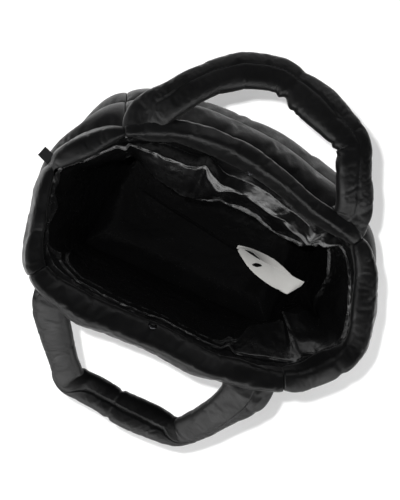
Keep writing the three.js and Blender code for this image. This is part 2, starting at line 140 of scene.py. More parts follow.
# How far in each band is drawn at the seam where it starts and where it ends, as a share of its thickness
BAND_ENDS = table(
    "start end",
    (0.84, 0.8),
    (0.8, 0.55),
    (0.6, 0.6),
    (0.5, 0.84),
)

# Folds across the band: the side's number, place along it, how far it is drawn in, and the fold's length in
# millimetres
BAND_FOLDS = table(
    "side place depth reach",
    (1, 0.36, 0.09, 5),
    (3, 0.49, 0.55, 8),
)

# The hanging lining by place round the bag, in millimetres: inset from the band's line and drop below it of
# its crest and of its belly, how far the cloth behind the crest lies below it, and the width of the gentle
# slopes that run in from the crest and on to the belly
LINING_SHAPE = table(
    "around crest drop hollow lip belly fall shelf",
    (0.000, 19, 17, 2, 3.0, 24, 44, 4),
    (0.040, 13.5, 15, 2, 2.5, 18, 28, 1.2),
    (0.100, 13, 14, 2, 2.2, 17.5, 27, 1),
    (0.170, 13, 15, 2, 2.5, 18, 30, 1.2),
    (0.185, 13, 15, 2, 3.0, 19, 34, 3),
    (0.192, 20, 17, 5, 4.0, 26, 40, 4),
    (0.199, 13, 15, 2, 3.0, 24, 32, 3),
    (0.212, 13, 15, 2, 3.0, 40, 60, 0.5),
    (0.230, 13, 15, 2, 3.5, 45, 66, 0.5),
    (0.255, 11, 13, 1, 3.0, 50, 67, 0.5),
    (0.275, 8.5, 12, 0, 2.0, 49, 63, 0.5),
    (0.298, 14, 17, 1, 2.0, 56, 60, 0.5),
    (0.320, 8.5, 12, 0, 2.0, 46, 62, 0.5),
    (0.347, 8, 11, -1, 2.0, 36, 80, 1),
    (0.375, 8, 11, -1, 2.0, 30, 94, 3),
    (0.440, 9.5, 12, -1, 2.0, 24, 80, 4),
    (0.500, 13, 22, 2, 3.0, 26, 70, 4),
    (0.515, 22, 32, 6, 6.0, 34, 66, 5),
    (0.527, 22, 33, -4, 6.0, 36, 66, 6),
    (0.535, 31, 36, -8, 4.0, 42, 64, 6),
    (0.545, 25, 35, -1, 5.0, 42, 64, 5),
    (0.557, 24, 34, -2, 5.0, 44, 64, 4),
    (0.567, 25, 33, -1, 3.0, 45, 63, 3),
    (0.586, 28, 31, -6, 5.0, 48, 62, 6),
    (0.607, 31, 29, -6, 5.0, 52, 61, 6),
    (0.620, 32, 28, -4, 4.0, 54, 60, 4),
    (0.631, 33, 28, 2, 3.0, 55, 60, 3),
    (0.638, 33, 30, 5, 6.0, 55, 64, 3),
    (0.646, 34, 33, 8, 11.0, 60, 70, 3),
    (0.660, 26, 32, 10, 9.0, 64, 66, 0.5),
    (0.668, 21, 32, 10, 4.0, 66, 73, 0.5),
    (0.676, 28, 33, 11, 3.0, 68, 69, 0.5),
    (0.688, 30, 32, 12, 3.0, 68, 67.5, 0.5),
    (0.707, 25.7, 30, 10, 3.0, 60, 63, 0.5),
    (0.723, 20.6, 27, 8, 3.0, 50, 57, 0.5),
    (0.738, 15.5, 24, 6, 3.0, 38, 52, 0.5),
    (0.750, 11, 20, 3, 3.0, 28, 70, 1),
    (0.757, 14, 18, 5, 6.0, 24, 80, 1),
    (0.770, 11, 16, 2, 4.0, 22, 80, 1),
    (0.800, 11, 15, 2, 3.0, 22, 90, 0.5),
    (0.830, 11, 14, 2, 2.5, 22, 90, 0.5),
    (0.864, 8, 10, -1, 1.5, 18, 84, 0.5),
    (0.875, 7, 10, -1, 2.0, 16, 80, 0.5),
    (0.886, 8, 10, -1, 4.0, 16, 80, 0.5),
    (0.905, 9.5, 11, -1, 1.5, 18, 80, 0.5),
    (0.923, 13, 12, 0, 4.0, 19, 80, 0.5),
    (0.945, 9, 11, -1, 1.5, 18, 80, 0.5),
    (0.970, 11, 13, 0, 1.5, 20, 60, 0.5),
    (0.988, 17, 17, 2, 6.0, 24, 50, 2),
)

# Single creases of the lining wall: both ends as place round the bag and share of the way down, then height
# and spread in millimetres
LINING_CREASES = table(
    "start_around start_down end_around end_down height spread",
    (0.269, 0.05, 0.296, 0.32, 6, 16),
    (0.296, 0.32, 0.347, 0.46, 6, 20),
    (0.298, 0.12, 0.350, 0.06, 6, 14),
    (0.36, 0.14, 0.40, 0.5, 6, 24),
    (0.43, 0.12, 0.40, 0.6, 7, 26),
    (0.87, 0.14, 0.90, 0.5, 6, 24),
    (0.95, 0.12, 0.93, 0.6, 6, 24),
    (0.985, 0.1, 0.02, 0.4, 7, 22),
    (0.80, 0.2, 0.76, 0.6, 7, 26),
    (0.70, 0.45, 0.66, 0.8, 6, 28),
)

# The label's tape from the lining floor out to its fold and back, in millimetres, and its turn about its own
# line in degrees: the way out stands on edge
LABEL_LINE = table(
    "x y z width roll",
    (55, -9, 12.5, 5, -20),
    (61, -7, 16, 10, -60),
    (75, -4, 23, 18, -80),
    (99, -7, 37, 22, -64),
    (133, -22, 57, 22, -8),
    (144, -20.5, 69, 24, 0),
    (138, -19.5, 71.5, 24, -8),
    (114, -20, 60, 26, -16),
    (84, -17.5, 42, 21, -20),
    (66, -12.5, 27, 12, -14),
    (58, -9.5, 18, 6, 0),
)
LABEL_SKEW = 0.009
LABEL_CUP = 0.0022
LABEL_MAP_WIDTH = 0.026
TAPE_THICKNESS = 0.0005

# The punched hole: its middle and half sizes along and across, in millimetres, and its turn in degrees
LABEL_HOLE = {"x": 86.5, "y": -17.0, "long": 6.2, "short": 2.6, "turn": 24.0}


class BagSizes(bpy.types.PropertyGroup):
    """Sizes of the padded body and its trim."""

    base_half_width: bpy.props.FloatProperty(
        name="Base half width", description="Half the base along the front", default=0.143, unit="LENGTH")
    base_half_depth: bpy.props.FloatProperty(
        name="Base half depth", description="Half the base from front to back", default=0.098, unit="LENGTH")
    base_edge: bpy.props.FloatProperty(
        name="Base edge", description="Height of the seam round the base", default=0.006, unit="LENGTH")
    middle_half_width: bpy.props.FloatProperty(
        name="Middle half width", description="Half the width halfway up", default=0.148, unit="LENGTH")
    middle_half_depth: bpy.props.FloatProperty(
        name="Middle half depth", description="Half the depth halfway up", default=0.104, unit="LENGTH")
    middle_height: bpy.props.FloatProperty(
        name="Middle height", description="Height of the widest part", default=0.116, unit="LENGTH")
    puff: bpy.props.FloatProperty(
        name="Puff", description="How far a channel swells before it settles", default=0.0155, unit="LENGTH")
    inner_puff: bpy.props.FloatProperty(
        name="Inner puff", description="How far a wall swells inwards", default=0.004, unit="LENGTH")
    seam_half: bpy.props.FloatProperty(
        name="Seam half thickness", description="Half the cloth on a seam", default=0.0012, unit="LENGTH")
    band_half_height: bpy.props.FloatProperty(
        name="Band half height", description="Half the mouth band's height", default=0.016, unit="LENGTH")
    handle_flatness: bpy.props.FloatProperty(
        name="Handle flatness", description="Section of the handles: 2 is oval, more is flatter", default=2.7)
    band_flatness: bpy.props.FloatProperty(
        name="Band flatness", description="Section of the band: 2 is oval, more is flatter", default=3.7)
    stitch_pitch: bpy.props.FloatProperty(
        name="Stitch pitch", description="From one stitch to the next", default=0.0042, unit="LENGTH")
    snap_radius: bpy.props.FloatProperty(
        name="Stud radius", description="Radius of the press stud", default=0.005, unit="LENGTH")
    tag_width: bpy.props.FloatProperty(
        name="Tag width", description="Width of the side tag's tape", default=0.012, unit="LENGTH")
    tag_length: bpy.props.FloatProperty(
        name="Tag length", description="How far the side tag stands out", default=0.015, unit="LENGTH")


class BagFinish(bpy.types.PropertyGroup):
    """Colours and gloss of the cloths and trim."""

    shell_colour: bpy.props.FloatVectorProperty(
        name="Shell", description="Padded nylon", default=(0.0014, 0.0014, 0.0015), subtype="COLOR", size=3)
    shell_roughness: bpy.props.FloatProperty(
        name="Shell roughness", description="Gloss of the padded nylon", default=0.43, subtype="FACTOR")
    lining_colour: bpy.props.FloatVectorProperty(
        name="Lining", description="Glossy film", default=(0.0022, 0.0022, 0.0023), subtype="COLOR", size=3)
    lining_roughness: bpy.props.FloatProperty(
        name="Lining roughness", description="Gloss of the lining film", default=0.24, subtype="FACTOR")
    label_colour: bpy.props.FloatVectorProperty(
        name="Label", description="White satin tape", default=(0.55, 0.545, 0.525), subtype="COLOR", size=3)
    metal_colour: bpy.props.FloatVectorProperty(
        name="Press stud", description="Dark metal", default=(0.07, 0.07, 0.075), subtype="COLOR", size=3)
    thread_colour: bpy.props.FloatVectorProperty(
        name="Thread", description="Sewing thread", default=(0.012, 0.012, 0.013), subtype="COLOR", size=3)
    floor_colour: bpy.props.FloatVectorProperty(
        name="Floor", description="Studio floor", default=(0.97, 0.97, 0.97), subtype="COLOR", size=3)


class StudioSettings(bpy.types.PropertyGroup):
    """Camera and light."""

    lens: bpy.props.FloatProperty(
        name="Lens", description="Focal length in millimetres", default=50.0, unit="CAMERA")
    azimuth: bpy.props.FloatProperty(
        name="Azimuth", description="Turn about the upright", default=np.radians(25.0), subtype="ANGLE")
    elevation: bpy.props.FloatProperty(
        name="Elevation", description="Tilt of the view, just past straight down",
        default=np.radians(97.5), subtype="ANGLE")
    distance: bpy.props.FloatProperty(
        name="Distance", description="From the aim to the camera", default=0.77, unit="LENGTH")
    aim: bpy.props.FloatVectorProperty(
        name="Aim", description="Middle of the picture", default=(0.0, -0.012, 0.2), subtype="XYZ")
    light: bpy.props.FloatProperty(
        name="Light", description="Strength of the lamps together", default=1.0, subtype="FACTOR", max=10.0)
    ambient: bpy.props.FloatProperty(
        name="Ambient", description="Even light from all round", default=0.02, subtype="FACTOR")
    backdrop: bpy.props.FloatProperty(
        name="Backdrop", description="Brightness of the plain wall behind", default=0.7, subtype="FACTOR")


def sizes():
    return bpy.context.scene.puffer_sizes


def finish():
    return bpy.context.scene.puffer_finish


# Curves and the body's surface

def closed_curve(points, around):
    """A closed curve of cubics, each leaving and meeting its ends along the line between their neighbours."""
    count = len(points)
    place = np.mod(around, 1.0) * count
    first = np.floor(place).astype(int)
    step = (place - first)[..., None]
    before, start, end, after = (points[(first + shift) % count] for shift in (-1, 0, 1, 2))
    bend = 2 * before - 5 * start + 4 * end - after
    twist = 3 * start - before - 3 * end + after
    return 0.5 * (2 * start + (end - before) * step + bend * step ** 2 + twist * step ** 3)


def open_curve(points, along):
    """An open curve of cubics through the points, its tangents weighted by the root of each chord."""
    padded = np.vstack((2 * points[0] - points[1], points, 2 * points[-1] - points[-2]))
    spans = len(points) - 1
    place = np.clip(np.asarray(along, float), 0, 1) * spans
    first = np.minimum(np.floor(place).astype(int), spans - 1)
    step = (place - first)[..., None]
    chord = np.sqrt(np.maximum(np.linalg.norm(np.diff(padded[:, :3], axis=0), axis=1), 1e-9))[:, None]
    before, start, end, after = (padded[first + shift] for shift in range(4))
    last, this, following = (chord[first + shift] for shift in range(3))
    leave = this * ((start - before) / last - (end - before) / (last + this) + (end - start) / this)
    meet = this * ((end - start) / this - (after - start) / (this + following) + (after - end) / following)
    square, cube = step ** 2, step ** 3
    return ((2 * cube - 3 * square + 1) * start + (cube - 2 * square + step) * leave
            + (3 * square - 2 * cube) * end + (cube - square) * meet)


def unit(vectors):
    return vectors / np.maximum(np.linalg.norm(vectors, axis=-1, keepdims=True), 1e-12)


def run_along(points, axis=0):
    """The length run from the first point on, along one axis of a grid of points."""
    step = np.linalg.norm(np.diff(points, axis=axis), axis=-1)
    start = np.zeros_like(np.take(step, (0,), axis))
    return np.concatenate((start, np.cumsum(step, axis)), axis)


def bowed_rectangle(half_width, half_depth, height, bow):
    """Stations round a rectangle whose sides swell outwards by a parabola, four to a side."""
    corner = np.array(((-1, -1), (1, -1), (1, 1), (-1, 1)), float)
    run = np.roll(corner, -1, 0) - corner
    share = (np.arange(4) / 4)[None, :, None]
    outwards = np.stack((run[:, 1], -run[:, 0]), -1)[:, None] / 2
    swell = outwards * np.broadcast_to(bow, 4)[:, None, None] * 4 * share * (1 - share)
    level = (corner[:, None] + run[:, None] * share) * (half_width, half_depth) + swell
    return np.concatenate((level, np.full((4, 4, 1), height)), -1).reshape(-1, 3)


def rim_point(around):
    return closed_curve(np.stack((RIM["x"], RIM["y"], RIM["z"]), -1) * MM, around)


def rim_half_thickness(around):
    return closed_curve(RIM["thick"][:, None] * MM / 2, around)[..., 0]


def rim_normal(around):
    """The level outward direction at the band, across its run."""
    run = rim_point(around + 0.008) - rim_point(around - 0.008)
    return unit(np.stack((run[..., 1], -run[..., 0], np.zeros(run.shape[:-1])), -1))


def wall_point(around, up):
    """A parabola in height through the base edge, the bowed middle and the seam under the band."""
    bag = sizes()
    base = bowed_rectangle(bag.base_half_width, bag.base_half_depth, bag.base_edge, BASE_BOW * MM)
    base = closed_curve(base, around)
    middle = bowed_rectangle(bag.middle_half_width, bag.middle_half_depth, bag.middle_height, MIDDLE_BOW * MM)
    middle = closed_curve(middle, around)
    seam = rim_point(around) - UP * (bag.band_half_height + SEAM_GAP)
    up = up[..., None]
    return base * (1 - up) * (1 - 2 * up) + middle * 4 * up * (1 - up) + seam * up * (2 * up - 1)


def wall_normal(around, up):
    """Outwards from the wall by central differences, turned level just under the band."""
    step = 0.008
    run = wall_point(around + step, up) - wall_point(around - step, up)
    rise = wall_point(around, up + step) - wall_point(around, up - step)
    level = np.clip(up, 0, 1)[..., None] ** 8
    return unit(unit(np.cross(run, rise)) * (1 - level) + rim_normal(around) * level)


def rounded_box(angle, power):
    """Cosine and sine drawn out towards a box: the higher the power, the flatter its sides."""
    cosine, sine = np.cos(angle), np.sin(angle)
    return (np.sign(cosine) * np.abs(cosine) ** (2 / power), np.sign(sine) * np.abs(sine) ** (2 / power))


def fullness(share, power):
    """0 on two seams and 1 over most of the way between them."""
    return 1 - np.abs(2 * share - 1) ** power


# Meshes

def grid_faces(rows, columns, joined=False):
    """Quads of a grid numbered row by row, and each corner's row and column; joined closes every row."""
    spans = columns if joined else columns - 1
    row, column = np.meshgrid(np.arange(rows - 1), np.arange(spans), indexing="ij")
    corner_row = np.stack((row, row, row + 1, row + 1), -1).reshape(-1, 4)
    corner_column = np.stack((column, column + 1, column + 1, column), -1).reshape(-1, 4)
    return corner_row * columns + corner_column % columns, corner_row, corner_column


def new_piece(name, points, faces, uv=None):
    """A smooth mesh object at the origin, with an optional map of one place for each face corner."""
    mesh = bpy.data.meshes.new(name)
    mesh.from_pydata(points.reshape(-1, 3).tolist(), [], faces)
    mesh.shade_smooth()
    if uv is not None:
        layer = mesh.uv_layers.new(name="cloth")
        layer.data.foreach_set("uv", np.ascontiguousarray(uv, np.float32).ravel())
    mesh.update()
    piece = bpy.data.objects.new(name, mesh)
    bpy.context.scene.collection.objects.link(piece)
    return piece


def tube_piece(name, rings, length, girth):
    """A tube through the rings with both ends closed; its map unrolls it to length by girth."""
    rows, columns = rings.shape[:2]
    faces, corner_row, corner_column = grid_faces(rows, columns, joined=True)
    uv = np.stack((corner_column * girth / columns, corner_row * length / (rows - 1)), -1).reshape(-1, 2)
    last = (rows - 1) * columns
    caps = [list(range(columns))[::-1], list(range(last, last + columns))]
    ends = np.zeros((2 * columns, 2))
    return new_piece(name, rings, faces.tolist() + caps, np.vstack((uv, ends)))


def smooth_finely(piece, levels=1):
    modifier = piece.modifiers.new("smooth", "SUBSURF")
    modifier.levels = levels
    modifier.render_levels = levels


def place_on_bag(piece, slot, material, *nodes):
    """The piece rides on the bag, takes a finish and stands for its solids."""
    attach(piece, "root")
    if nodes:
        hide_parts(*nodes)
    piece.data.materials.append(bpy.data.materials[material])


# Cloth that settles

SETTLING = []


def let_settle(piece, hold, excess, pressure, bending, stiffness=15.0):
    """Adds cloth: hold is each point's pin weight, in a few steps, and excess the share of spare length."""
    group = piece.vertex_groups.new(name="held")
    for weight in np.unique(hold):
        if weight > 0:
            group.add(np.flatnonzero(hold == weight).tolist(), float(weight), "REPLACE")
    modifier = piece.modifiers.new("settle", "CLOTH")
    cloth = modifier.settings
    cloth.quality = 6
    cloth.mass = 0.3
    cloth.air_damping = 4.0
    cloth.tension_stiffness = stiffness
    cloth.compression_stiffness = stiffness
    cloth.shear_stiffness = stiffness * 0.5
    cloth.bending_stiffness = bending
    cloth.tension_damping = 10.0
    cloth.compression_damping = 10.0
    cloth.shear_damping = 8.0
    cloth.bending_damping = 2.0
    cloth.shrink_min = -excess
    cloth.use_pressure = pressure > 0
    cloth.uniform_pressure_force = pressure
    cloth.vertex_group_mass = "held"
    cloth.pin_stiffness = 1.0
    cloth.effector_weights.gravity = 0.0
    modifier.collision_settings.use_collision = False
    modifier.point_cache.frame_start = 1
    modifier.point_cache.frame_end = SETTLE_FRAMES
    SETTLING.append(piece)


def settled_points(piece, depsgraph):
    solved = piece.evaluated_get(depsgraph).data
    points = np.empty(len(solved.vertices) * 3, np.float32)
    solved.vertices.foreach_get("co", points)
    return points


class PUFFER_OT_settle(bpy.types.Operator):
    """Runs the cloth of every soft piece together and keeps the shapes it reaches."""

    bl_idname = "puffer.settle"
    bl_label = "Settle Cloth"

    def execute(self, context):
        scene = context.scene
        for number in range(1, SETTLE_FRAMES + 1):
            scene.frame_set(number)
        depsgraph = context.evaluated_depsgraph_get()
        reached = [settled_points(piece, depsgraph) for piece in SETTLING]
        for number, piece in enumerate(SETTLING):
            piece.modifiers.remove(piece.modifiers["settle"])
            piece.vertex_groups.clear()
            piece.data.vertices.foreach_set("co", reached[number])
            piece.data.update()
            smooth_finely(piece)
        SETTLING.clear()
        scene.frame_set(1)
        return {"FINISHED"}


def ripple(seed, points, size, shortest=0.03, waves=14):
    """Smooth seeded noise in metres: a sum of plane waves of random direction, length and phase."""
    random = np.random.default_rng(seed)
    direction = unit(random.normal(size=(waves, 3)))
    number = 2 * np.pi * direction / random.uniform(shortest, 3 * shortest, (waves, 1))
    phase = random.uniform(0, 2 * np.pi, waves)
    return np.sin(points @ number.T + phase).sum(-1) * size / np.sqrt(waves)


def crumple(seed, points, size, shortest=0.05, waves=9):
    """Seeded folds in metres: faded triangle waves of random direction, whose flat facets meet in creases."""
    random = np.random.default_rng(seed)
    length = random.uniform(shortest, 2.5 * shortest, waves)
    number = unit(random.normal(size=(waves, 3))) / length[:, None]
    place = points @ number.T + random.uniform(0, 1, waves)
    fade = 0.5 + 0.5 * np.sin(points @ (np.roll(number, 1, 0) * 2.6).T + random.uniform(0, 6, waves))
    wave = 1 - 2 * np.abs(2 * np.mod(place, 1.0) - 1)
    return (wave * fade * length).sum(-1) * size / (shortest * np.sqrt(waves))


# Walls

WALL_STEPS = 112
CHANNEL_STEPS = 26
BACKING_STEP = 2
PUCKER_START = 0.003


def wall_grids(side):
    """The outer skin, swollen between stitch lines and seams, and the flat backing behind it."""
    bag = sizes()
    rows = CHANNELS * CHANNEL_STEPS + 1
    up, share = np.meshgrid(np.linspace(0, 1, rows), np.linspace(0, 1, WALL_STEPS + 1), indexing="ij")
    around = (side - 0.001 + share * 1.002) / 4
    wave = np.abs(np.sin(np.pi * CHANNELS * up)) ** 0.62
    swell = (0.6 + 0.4 * fullness(share, 7)) * fullness(up, 12) * (0.08 + 0.92 * wave)
    point = wall_point(around, up)
    normal = wall_normal(around, up)
    outer = point + normal * (bag.seam_half + bag.puff * swell)[..., None]
    depth = bag.seam_half + bag.inner_puff * fullness(share, 6) * fullness(up, 6)
    inner = (point - normal * depth[..., None])[::BACKING_STEP, ::BACKING_STEP]
    return outer, inner, normal


def puckers(seed, run, away, length, depth, reach):
    """Gathers along a stitch line: an uneven wave of the run that fades with the distance from the line."""
    wave = np.sin(2 * np.pi * run / length + 2.2 * np.sin(2 * np.pi * run / (3.7 * length) + seed))
    return depth * wave * np.exp(-(away / reach) ** 2)


def wall_puckers(side, outer):
    """Puckers beside every stitch line and seam of a wall; none on the lines themselves."""
    rows = len(outer)
    run = run_along(outer, 1)
    row = np.arange(rows)
    step = np.linalg.norm(np.diff(outer, axis=0), axis=-1).mean()
    away = np.abs(row - CHANNEL_STEPS * np.round(row / CHANNEL_STEPS))[:, None] * step
    wave = puckers(side, run, away, length=0.013, depth=0.0013, reach=0.011)
    return wave * np.clip(away / PUCKER_START, 0, 1)


def border_faces(outer_edge, inner_edge):
    """Faces between a fine edge and a coarse one that runs the other way beside it."""
    count = len(inner_edge) - 1
    fine = [outer_edge[number * BACKING_STEP:(number + 1) * BACKING_STEP + 1] for number in range(count)]
    return [[*piece, inner_edge[number + 1], inner_edge[number]] for number, piece in enumerate(fine)]


def wall_piece(side):
    """A closed padded wall whose outer skin is held on its seams and stitch lines while it settles."""
    outer, inner, normal = wall_grids(side)
    rows, columns = outer.shape[:2]
    inner_rows, inner_columns = inner.shape[:2]
    faces, corner_row, corner_column = grid_faces(rows, columns)
    backing = grid_faces(inner_rows, inner_columns)[0][:, ::-1] + rows * columns
    first = np.arange(rows * columns).reshape(rows, columns).tolist()
    second = np.arange(inner_rows * inner_columns).reshape(inner_rows, inner_columns) + rows * columns
    left, right = [row[0] for row in first], [row[-1] for row in first]
    borders = (border_faces(first[0][::-1], second[0][::-1].tolist())
               + border_faces(first[-1], second[-1].tolist())
               + border_faces(right[::-1], second[::-1, -1].tolist())
               + border_faces(left, second[:, 0].tolist()))
    uneven = ripple(10 + side, outer, size=0.0012, shortest=0.07) + wall_puckers(side, outer)
    outer = outer + normal * uneven[..., None]
    points = np.vstack((outer.reshape(-1, 3), inner.reshape(-1, 3)))
    polygons = faces.tolist() + backing.tolist() + borders
    width = np.linalg.norm(np.diff(outer[rows // 2], axis=0), axis=-1).sum()
    height = np.linalg.norm(np.diff(outer[:, columns // 2], axis=0), axis=-1).sum()
    uv = np.stack((corner_column * width / (columns - 1), corner_row * height / (rows - 1)), -1)
    uv = uv.reshape(-1, 2)
    corners = sum(len(polygon) for polygon in polygons)
    uv = np.vstack((uv, np.zeros((corners - len(uv), 2))))
    piece = new_piece(f"{WALL_NODES[side]}_shell", points, polygons, uv)
    hold = np.zeros((rows, columns))
    hold[::CHANNEL_STEPS] = 1.0
    hold[:, (0, -1)] = 1.0
    hold = np.concatenate((hold.ravel(), np.ones(inner_rows * inner_columns)))
    let_settle(piece, hold, excess=0.012, pressure=5.0, bending=6.0)
    return piece


class PUFFER_OT_walls(bpy.types.Operator):
    """Makes the quilted front, back and gussets."""

    bl_idname = "puffer.walls"
    bl_label = "Quilted Walls"

    def execute(self, context):
        for side, node in enumerate(WALL_NODES):
            piece = wall_piece(side)
            place_on_bag(piece, "shell", "padded nylon", node)
        return {"FINISHED"}


# Mouth band

BAND_STEPS = 110
BAND_ROUND = 36


def oval_rings(centre, across, high):
    """Flat-sided rings about the middle line, across by the cosine and high by the sine, from below."""
    angle = -np.pi / 2 + 2 * np.pi * np.arange(BAND_ROUND) / BAND_ROUND
    cosine, sine = rounded_box(angle, sizes().band_flatness)
    return (centre[:, None] + across[:, None] * cosine[None, :, None]
            + high[:, None] * sine[None, :, None])


def band_shape(side, share):
    """Middle line and half axes of the plump band: its inner side stays on the core and its top leans in."""
    bag = sizes()
    around = (side - 0.003 + share * 1.006) / 4
    core = rim_point(around)
    outwards = rim_normal(around)
    length = np.linalg.norm(np.diff(core, axis=0), axis=-1).sum()
    drawn = np.interp(share, (0, 1), (BAND_ENDS["start"][side], BAND_ENDS["end"][side]))
    full = drawn + (1 - drawn) * fullness(share, 12)
    for number, place, depth, reach in zip(*BAND_FOLDS.values()):
        if number == side:
            full = full - depth * np.exp(-((share - place) * length / (reach * MM)) ** 2)
    half = closed_curve(RIM["wide"][:, None] * MM / 2, around)[:, 0] * full
    high = bag.band_half_height * (0.5 + 0.5 * full)
    lean = np.radians(closed_curve(RIM["lean"][:, None], around))
    level, upright = np.cos(lean), np.sin(lean)
    slant = high[:, None] * upright
    wide = np.sqrt(np.maximum(half[:, None] ** 2 - slant ** 2, (0.75 * half[:, None]) ** 2)) / level
    centre = core + outwards * (half - rim_half_thickness(around) * 1.08 * full)[:, None]
    across = (-outwards * level - UP * upright) * wide
    return centre, across, (UP * level - outwards * upright) * high[:, None], length


def band_piece(side):
    """One length of the band: a leaning oval carried along the mouth and drawn in at its corner seams."""
    share = np.linspace(0, 1, BAND_STEPS + 1)
    centre, across, high, length = band_shape(side, share)
    rings = oval_rings(centre, across, high)
    fold = (ripple(20 + side, rings, size=0.0007, shortest=0.06)
            + crumple(24 + side, rings, size=0.0014, shortest=0.03))
    rings += unit(rings - centre[:, None]) * fold[..., None]
    piece = tube_piece(f"{SIDES[side]}_rim_band", rings, length, girth=0.085)
    hold = np.full(rings.shape[:2], SOFT_HOLD)
    hold[:, 0] = 1.0
    hold[(0, -1), :] = 1.0
    let_settle(piece, hold.ravel(), excess=0.012, pressure=3.0, bending=8.0)
    return piece


class PUFFER_OT_band(bpy.types.Operator):
    """Makes the padded band round the mouth."""

    bl_idname = "puffer.band"
    bl_label = "Mouth Band"

    def execute(self, context):
        for side, name in enumerate(SIDES):
            piece = band_piece(side)
            place_on_bag(piece, "shell", "padded nylon", f"{name}_rim")
        return {"FINISHED"}


# Handles

HANDLE_STEPS = 190
HANDLE_ROUND = 48
HANDLE_ROOT_ROWS = 3
SEAM_DEPTH = 0.1
SEAM_SPREAD = 0.05
CORNER_SHARE = 0.75

# Folds across the handles by row number: how far each draws the strap in, its length along the strap and the
# size of the puckers bunched on the inner edge beside it, both in millimetres
FRONT_FOLDS = table(
    "row depth reach pucker",
    (6, 0.14, 4, 0.4),
    (8.6, 0.16, 2.5, 0.3),
    (12, 0.14, 4, 0.4),
)
BACK_FOLDS = table(
    "row depth reach pucker",
    (6, 0.14, 5, 1.1),
    (10, 0.14, 5, 1.1),
)


def strap_frame(rows, along):
    """Middle line, level direction across it turned by the roll, direction above it, and the other columns.

    The line lies between the curve and straight runs from row to row, so that it keeps corners."""
    columns = [name for name in rows if name not in "xyz"]
    stacked = np.stack([rows[name] for name in ("x", "y", "z", *columns)], -1)
    values = open_curve(stacked, along)
    straight = [np.interp(along, np.linspace(0, 1, len(stacked)), stacked[:, axis]) for axis in range(3)]
    line = (values[:, :3] * (1 - CORNER_SHARE) + np.stack(straight, -1) * CORNER_SHARE) * MM
    place = np.arange(len(line))
    tangent = unit(line[np.minimum(place + 2, len(line) - 1)] - line[np.maximum(place - 2, 0)])
    across = unit(np.cross(UP, tangent))
    high = np.cross(tangent, across)
    roll = np.radians(values[:, 3 + columns.index("roll")])[:, None]
    across, high = across * np.cos(roll) + high * np.sin(roll), high * np.cos(roll) - across * np.sin(roll)
    return line, across, high, {name: values[:, 3 + number] for number, name in enumerate(columns)}


def even_places(rows, count):
    """Places along the rows' curve that lie an even length apart."""
    fine = np.linspace(0, 1, 2000)
    line = open_curve(np.stack((rows["x"], rows["y"], rows["z"]), -1), fine)
    run = run_along(line)
    return np.interp(np.linspace(0, run[-1], count), run, fine), run[-1] * MM


def handle_rings(rows, folds):
    """A flattened oval along the handle, with a sewn groove, folds across it and puckers beside them."""
    along, length = even_places(rows, HANDLE_STEPS + 1)
    line, across, high, column = strap_frame(rows, along)
    even = np.arange(HANDLE_ROUND) / HANDLE_ROUND
    turn = 2 * np.pi * even - 0.72 * np.sin(2 * np.pi * even)
    angle = np.radians(column["seam"])[:, None] + turn[None]
    off = np.minimum(turn, 2 * np.pi - turn)
    full = 1 - SEAM_DEPTH * np.exp(-(off / SEAM_SPREAD) ** 2)[None] * np.ones((len(along), 1))
    run = np.linspace(0, length, HANDLE_STEPS + 1)
    inner = np.clip(np.cos(angle), 0, 1) ** 2
    for row, depth, reach, pucker in zip(*folds.values()):
        away = run - np.interp(row / (len(rows["x"]) - 1), along, run)
        full -= (depth * np.exp(-(away / (reach * MM)) ** 2))[:, None] * (0.6 + 0.4 * inner)
        full += puckers(row, away, away, length=0.011, depth=pucker / 14, reach=0.02)[:, None] * inner
    cosine, sine = rounded_box(angle, sizes().handle_flatness)
    wide = cosine * full * column["width"][:, None] * MM / 2
    tall = sine * full * column["thick"][:, None] * MM / 2
    return line[:, None] + across[:, None] * wide[..., None] + high[:, None] * tall[..., None], line, length


def handle_piece(name, rows, folds, seed):
    rings, line, length = handle_rings(rows, folds)
    fold = (ripple(seed, rings, size=0.0006, shortest=0.06)
            + crumple(seed + 4, rings, size=0.001, shortest=0.03))
    rings = rings + unit(rings - line[:, None]) * fold[..., None]
    piece = tube_piece(name, rings, length, girth=0.1)
    hold = np.full(rings.shape[:2], SOFT_HOLD)
    hold[:, 0] = 1.0
    hold[:HANDLE_ROOT_ROWS] = 1.0
    hold[-HANDLE_ROOT_ROWS:] = 1.0
    let_settle(piece, hold.ravel(), excess=0.012, pressure=3.0, bending=8.0)
    return piece


class PUFFER_OT_handles(bpy.types.Operator):
    """Makes the two padded handles."""

    bl_idname = "puffer.handles"
    bl_label = "Padded Handles"

    def execute(self, context):
        straps = (
            ("front_handle", FRONT_HANDLE, FRONT_FOLDS, 30),
            ("back_handle", BACK_HANDLE, BACK_FOLDS, 31),
        )
        for node, rows, folds, seed in straps:
            piece = handle_piece(f"{node}_strap", rows, folds, seed)
            place_on_bag(piece, "shell", "padded nylon", node)
        return {"FINISHED"}


# Lining

LINING_AROUND = 304
LINING_GIRTH = 1.02
LINING_DEPTH = 0.21
LINING_MAP_HEIGHT = 0.3
LINING_STEPS = (3, 8, 4, 9, 5, 22)
GENTLE_SLOPE = 0.55
LEDGE_WIDTH = 0.013
LINING_EDGE_DROP = 0.008
LINING_FOOT_INSET = 0.013
LINING_FOOT_HEIGHT = 0.034
FLOOR_ROWS = 16
FLOOR_HEIGHT = 0.0098
FLOOR_SEAM_HALF = 0.105
FLOOR_SEAM_SHIFT = -0.0057
FLOOR_SEAM_SLANT = -0.134
FLOOR_WELT = 0.0012
LEFT_MIDDLE = 0.875


def inset_ring(around, inset, drop):
    """A ring inside the band's line and below it."""
    return rim_point(around) - rim_normal(around) * inset[:, None] - UP * drop[:, None]


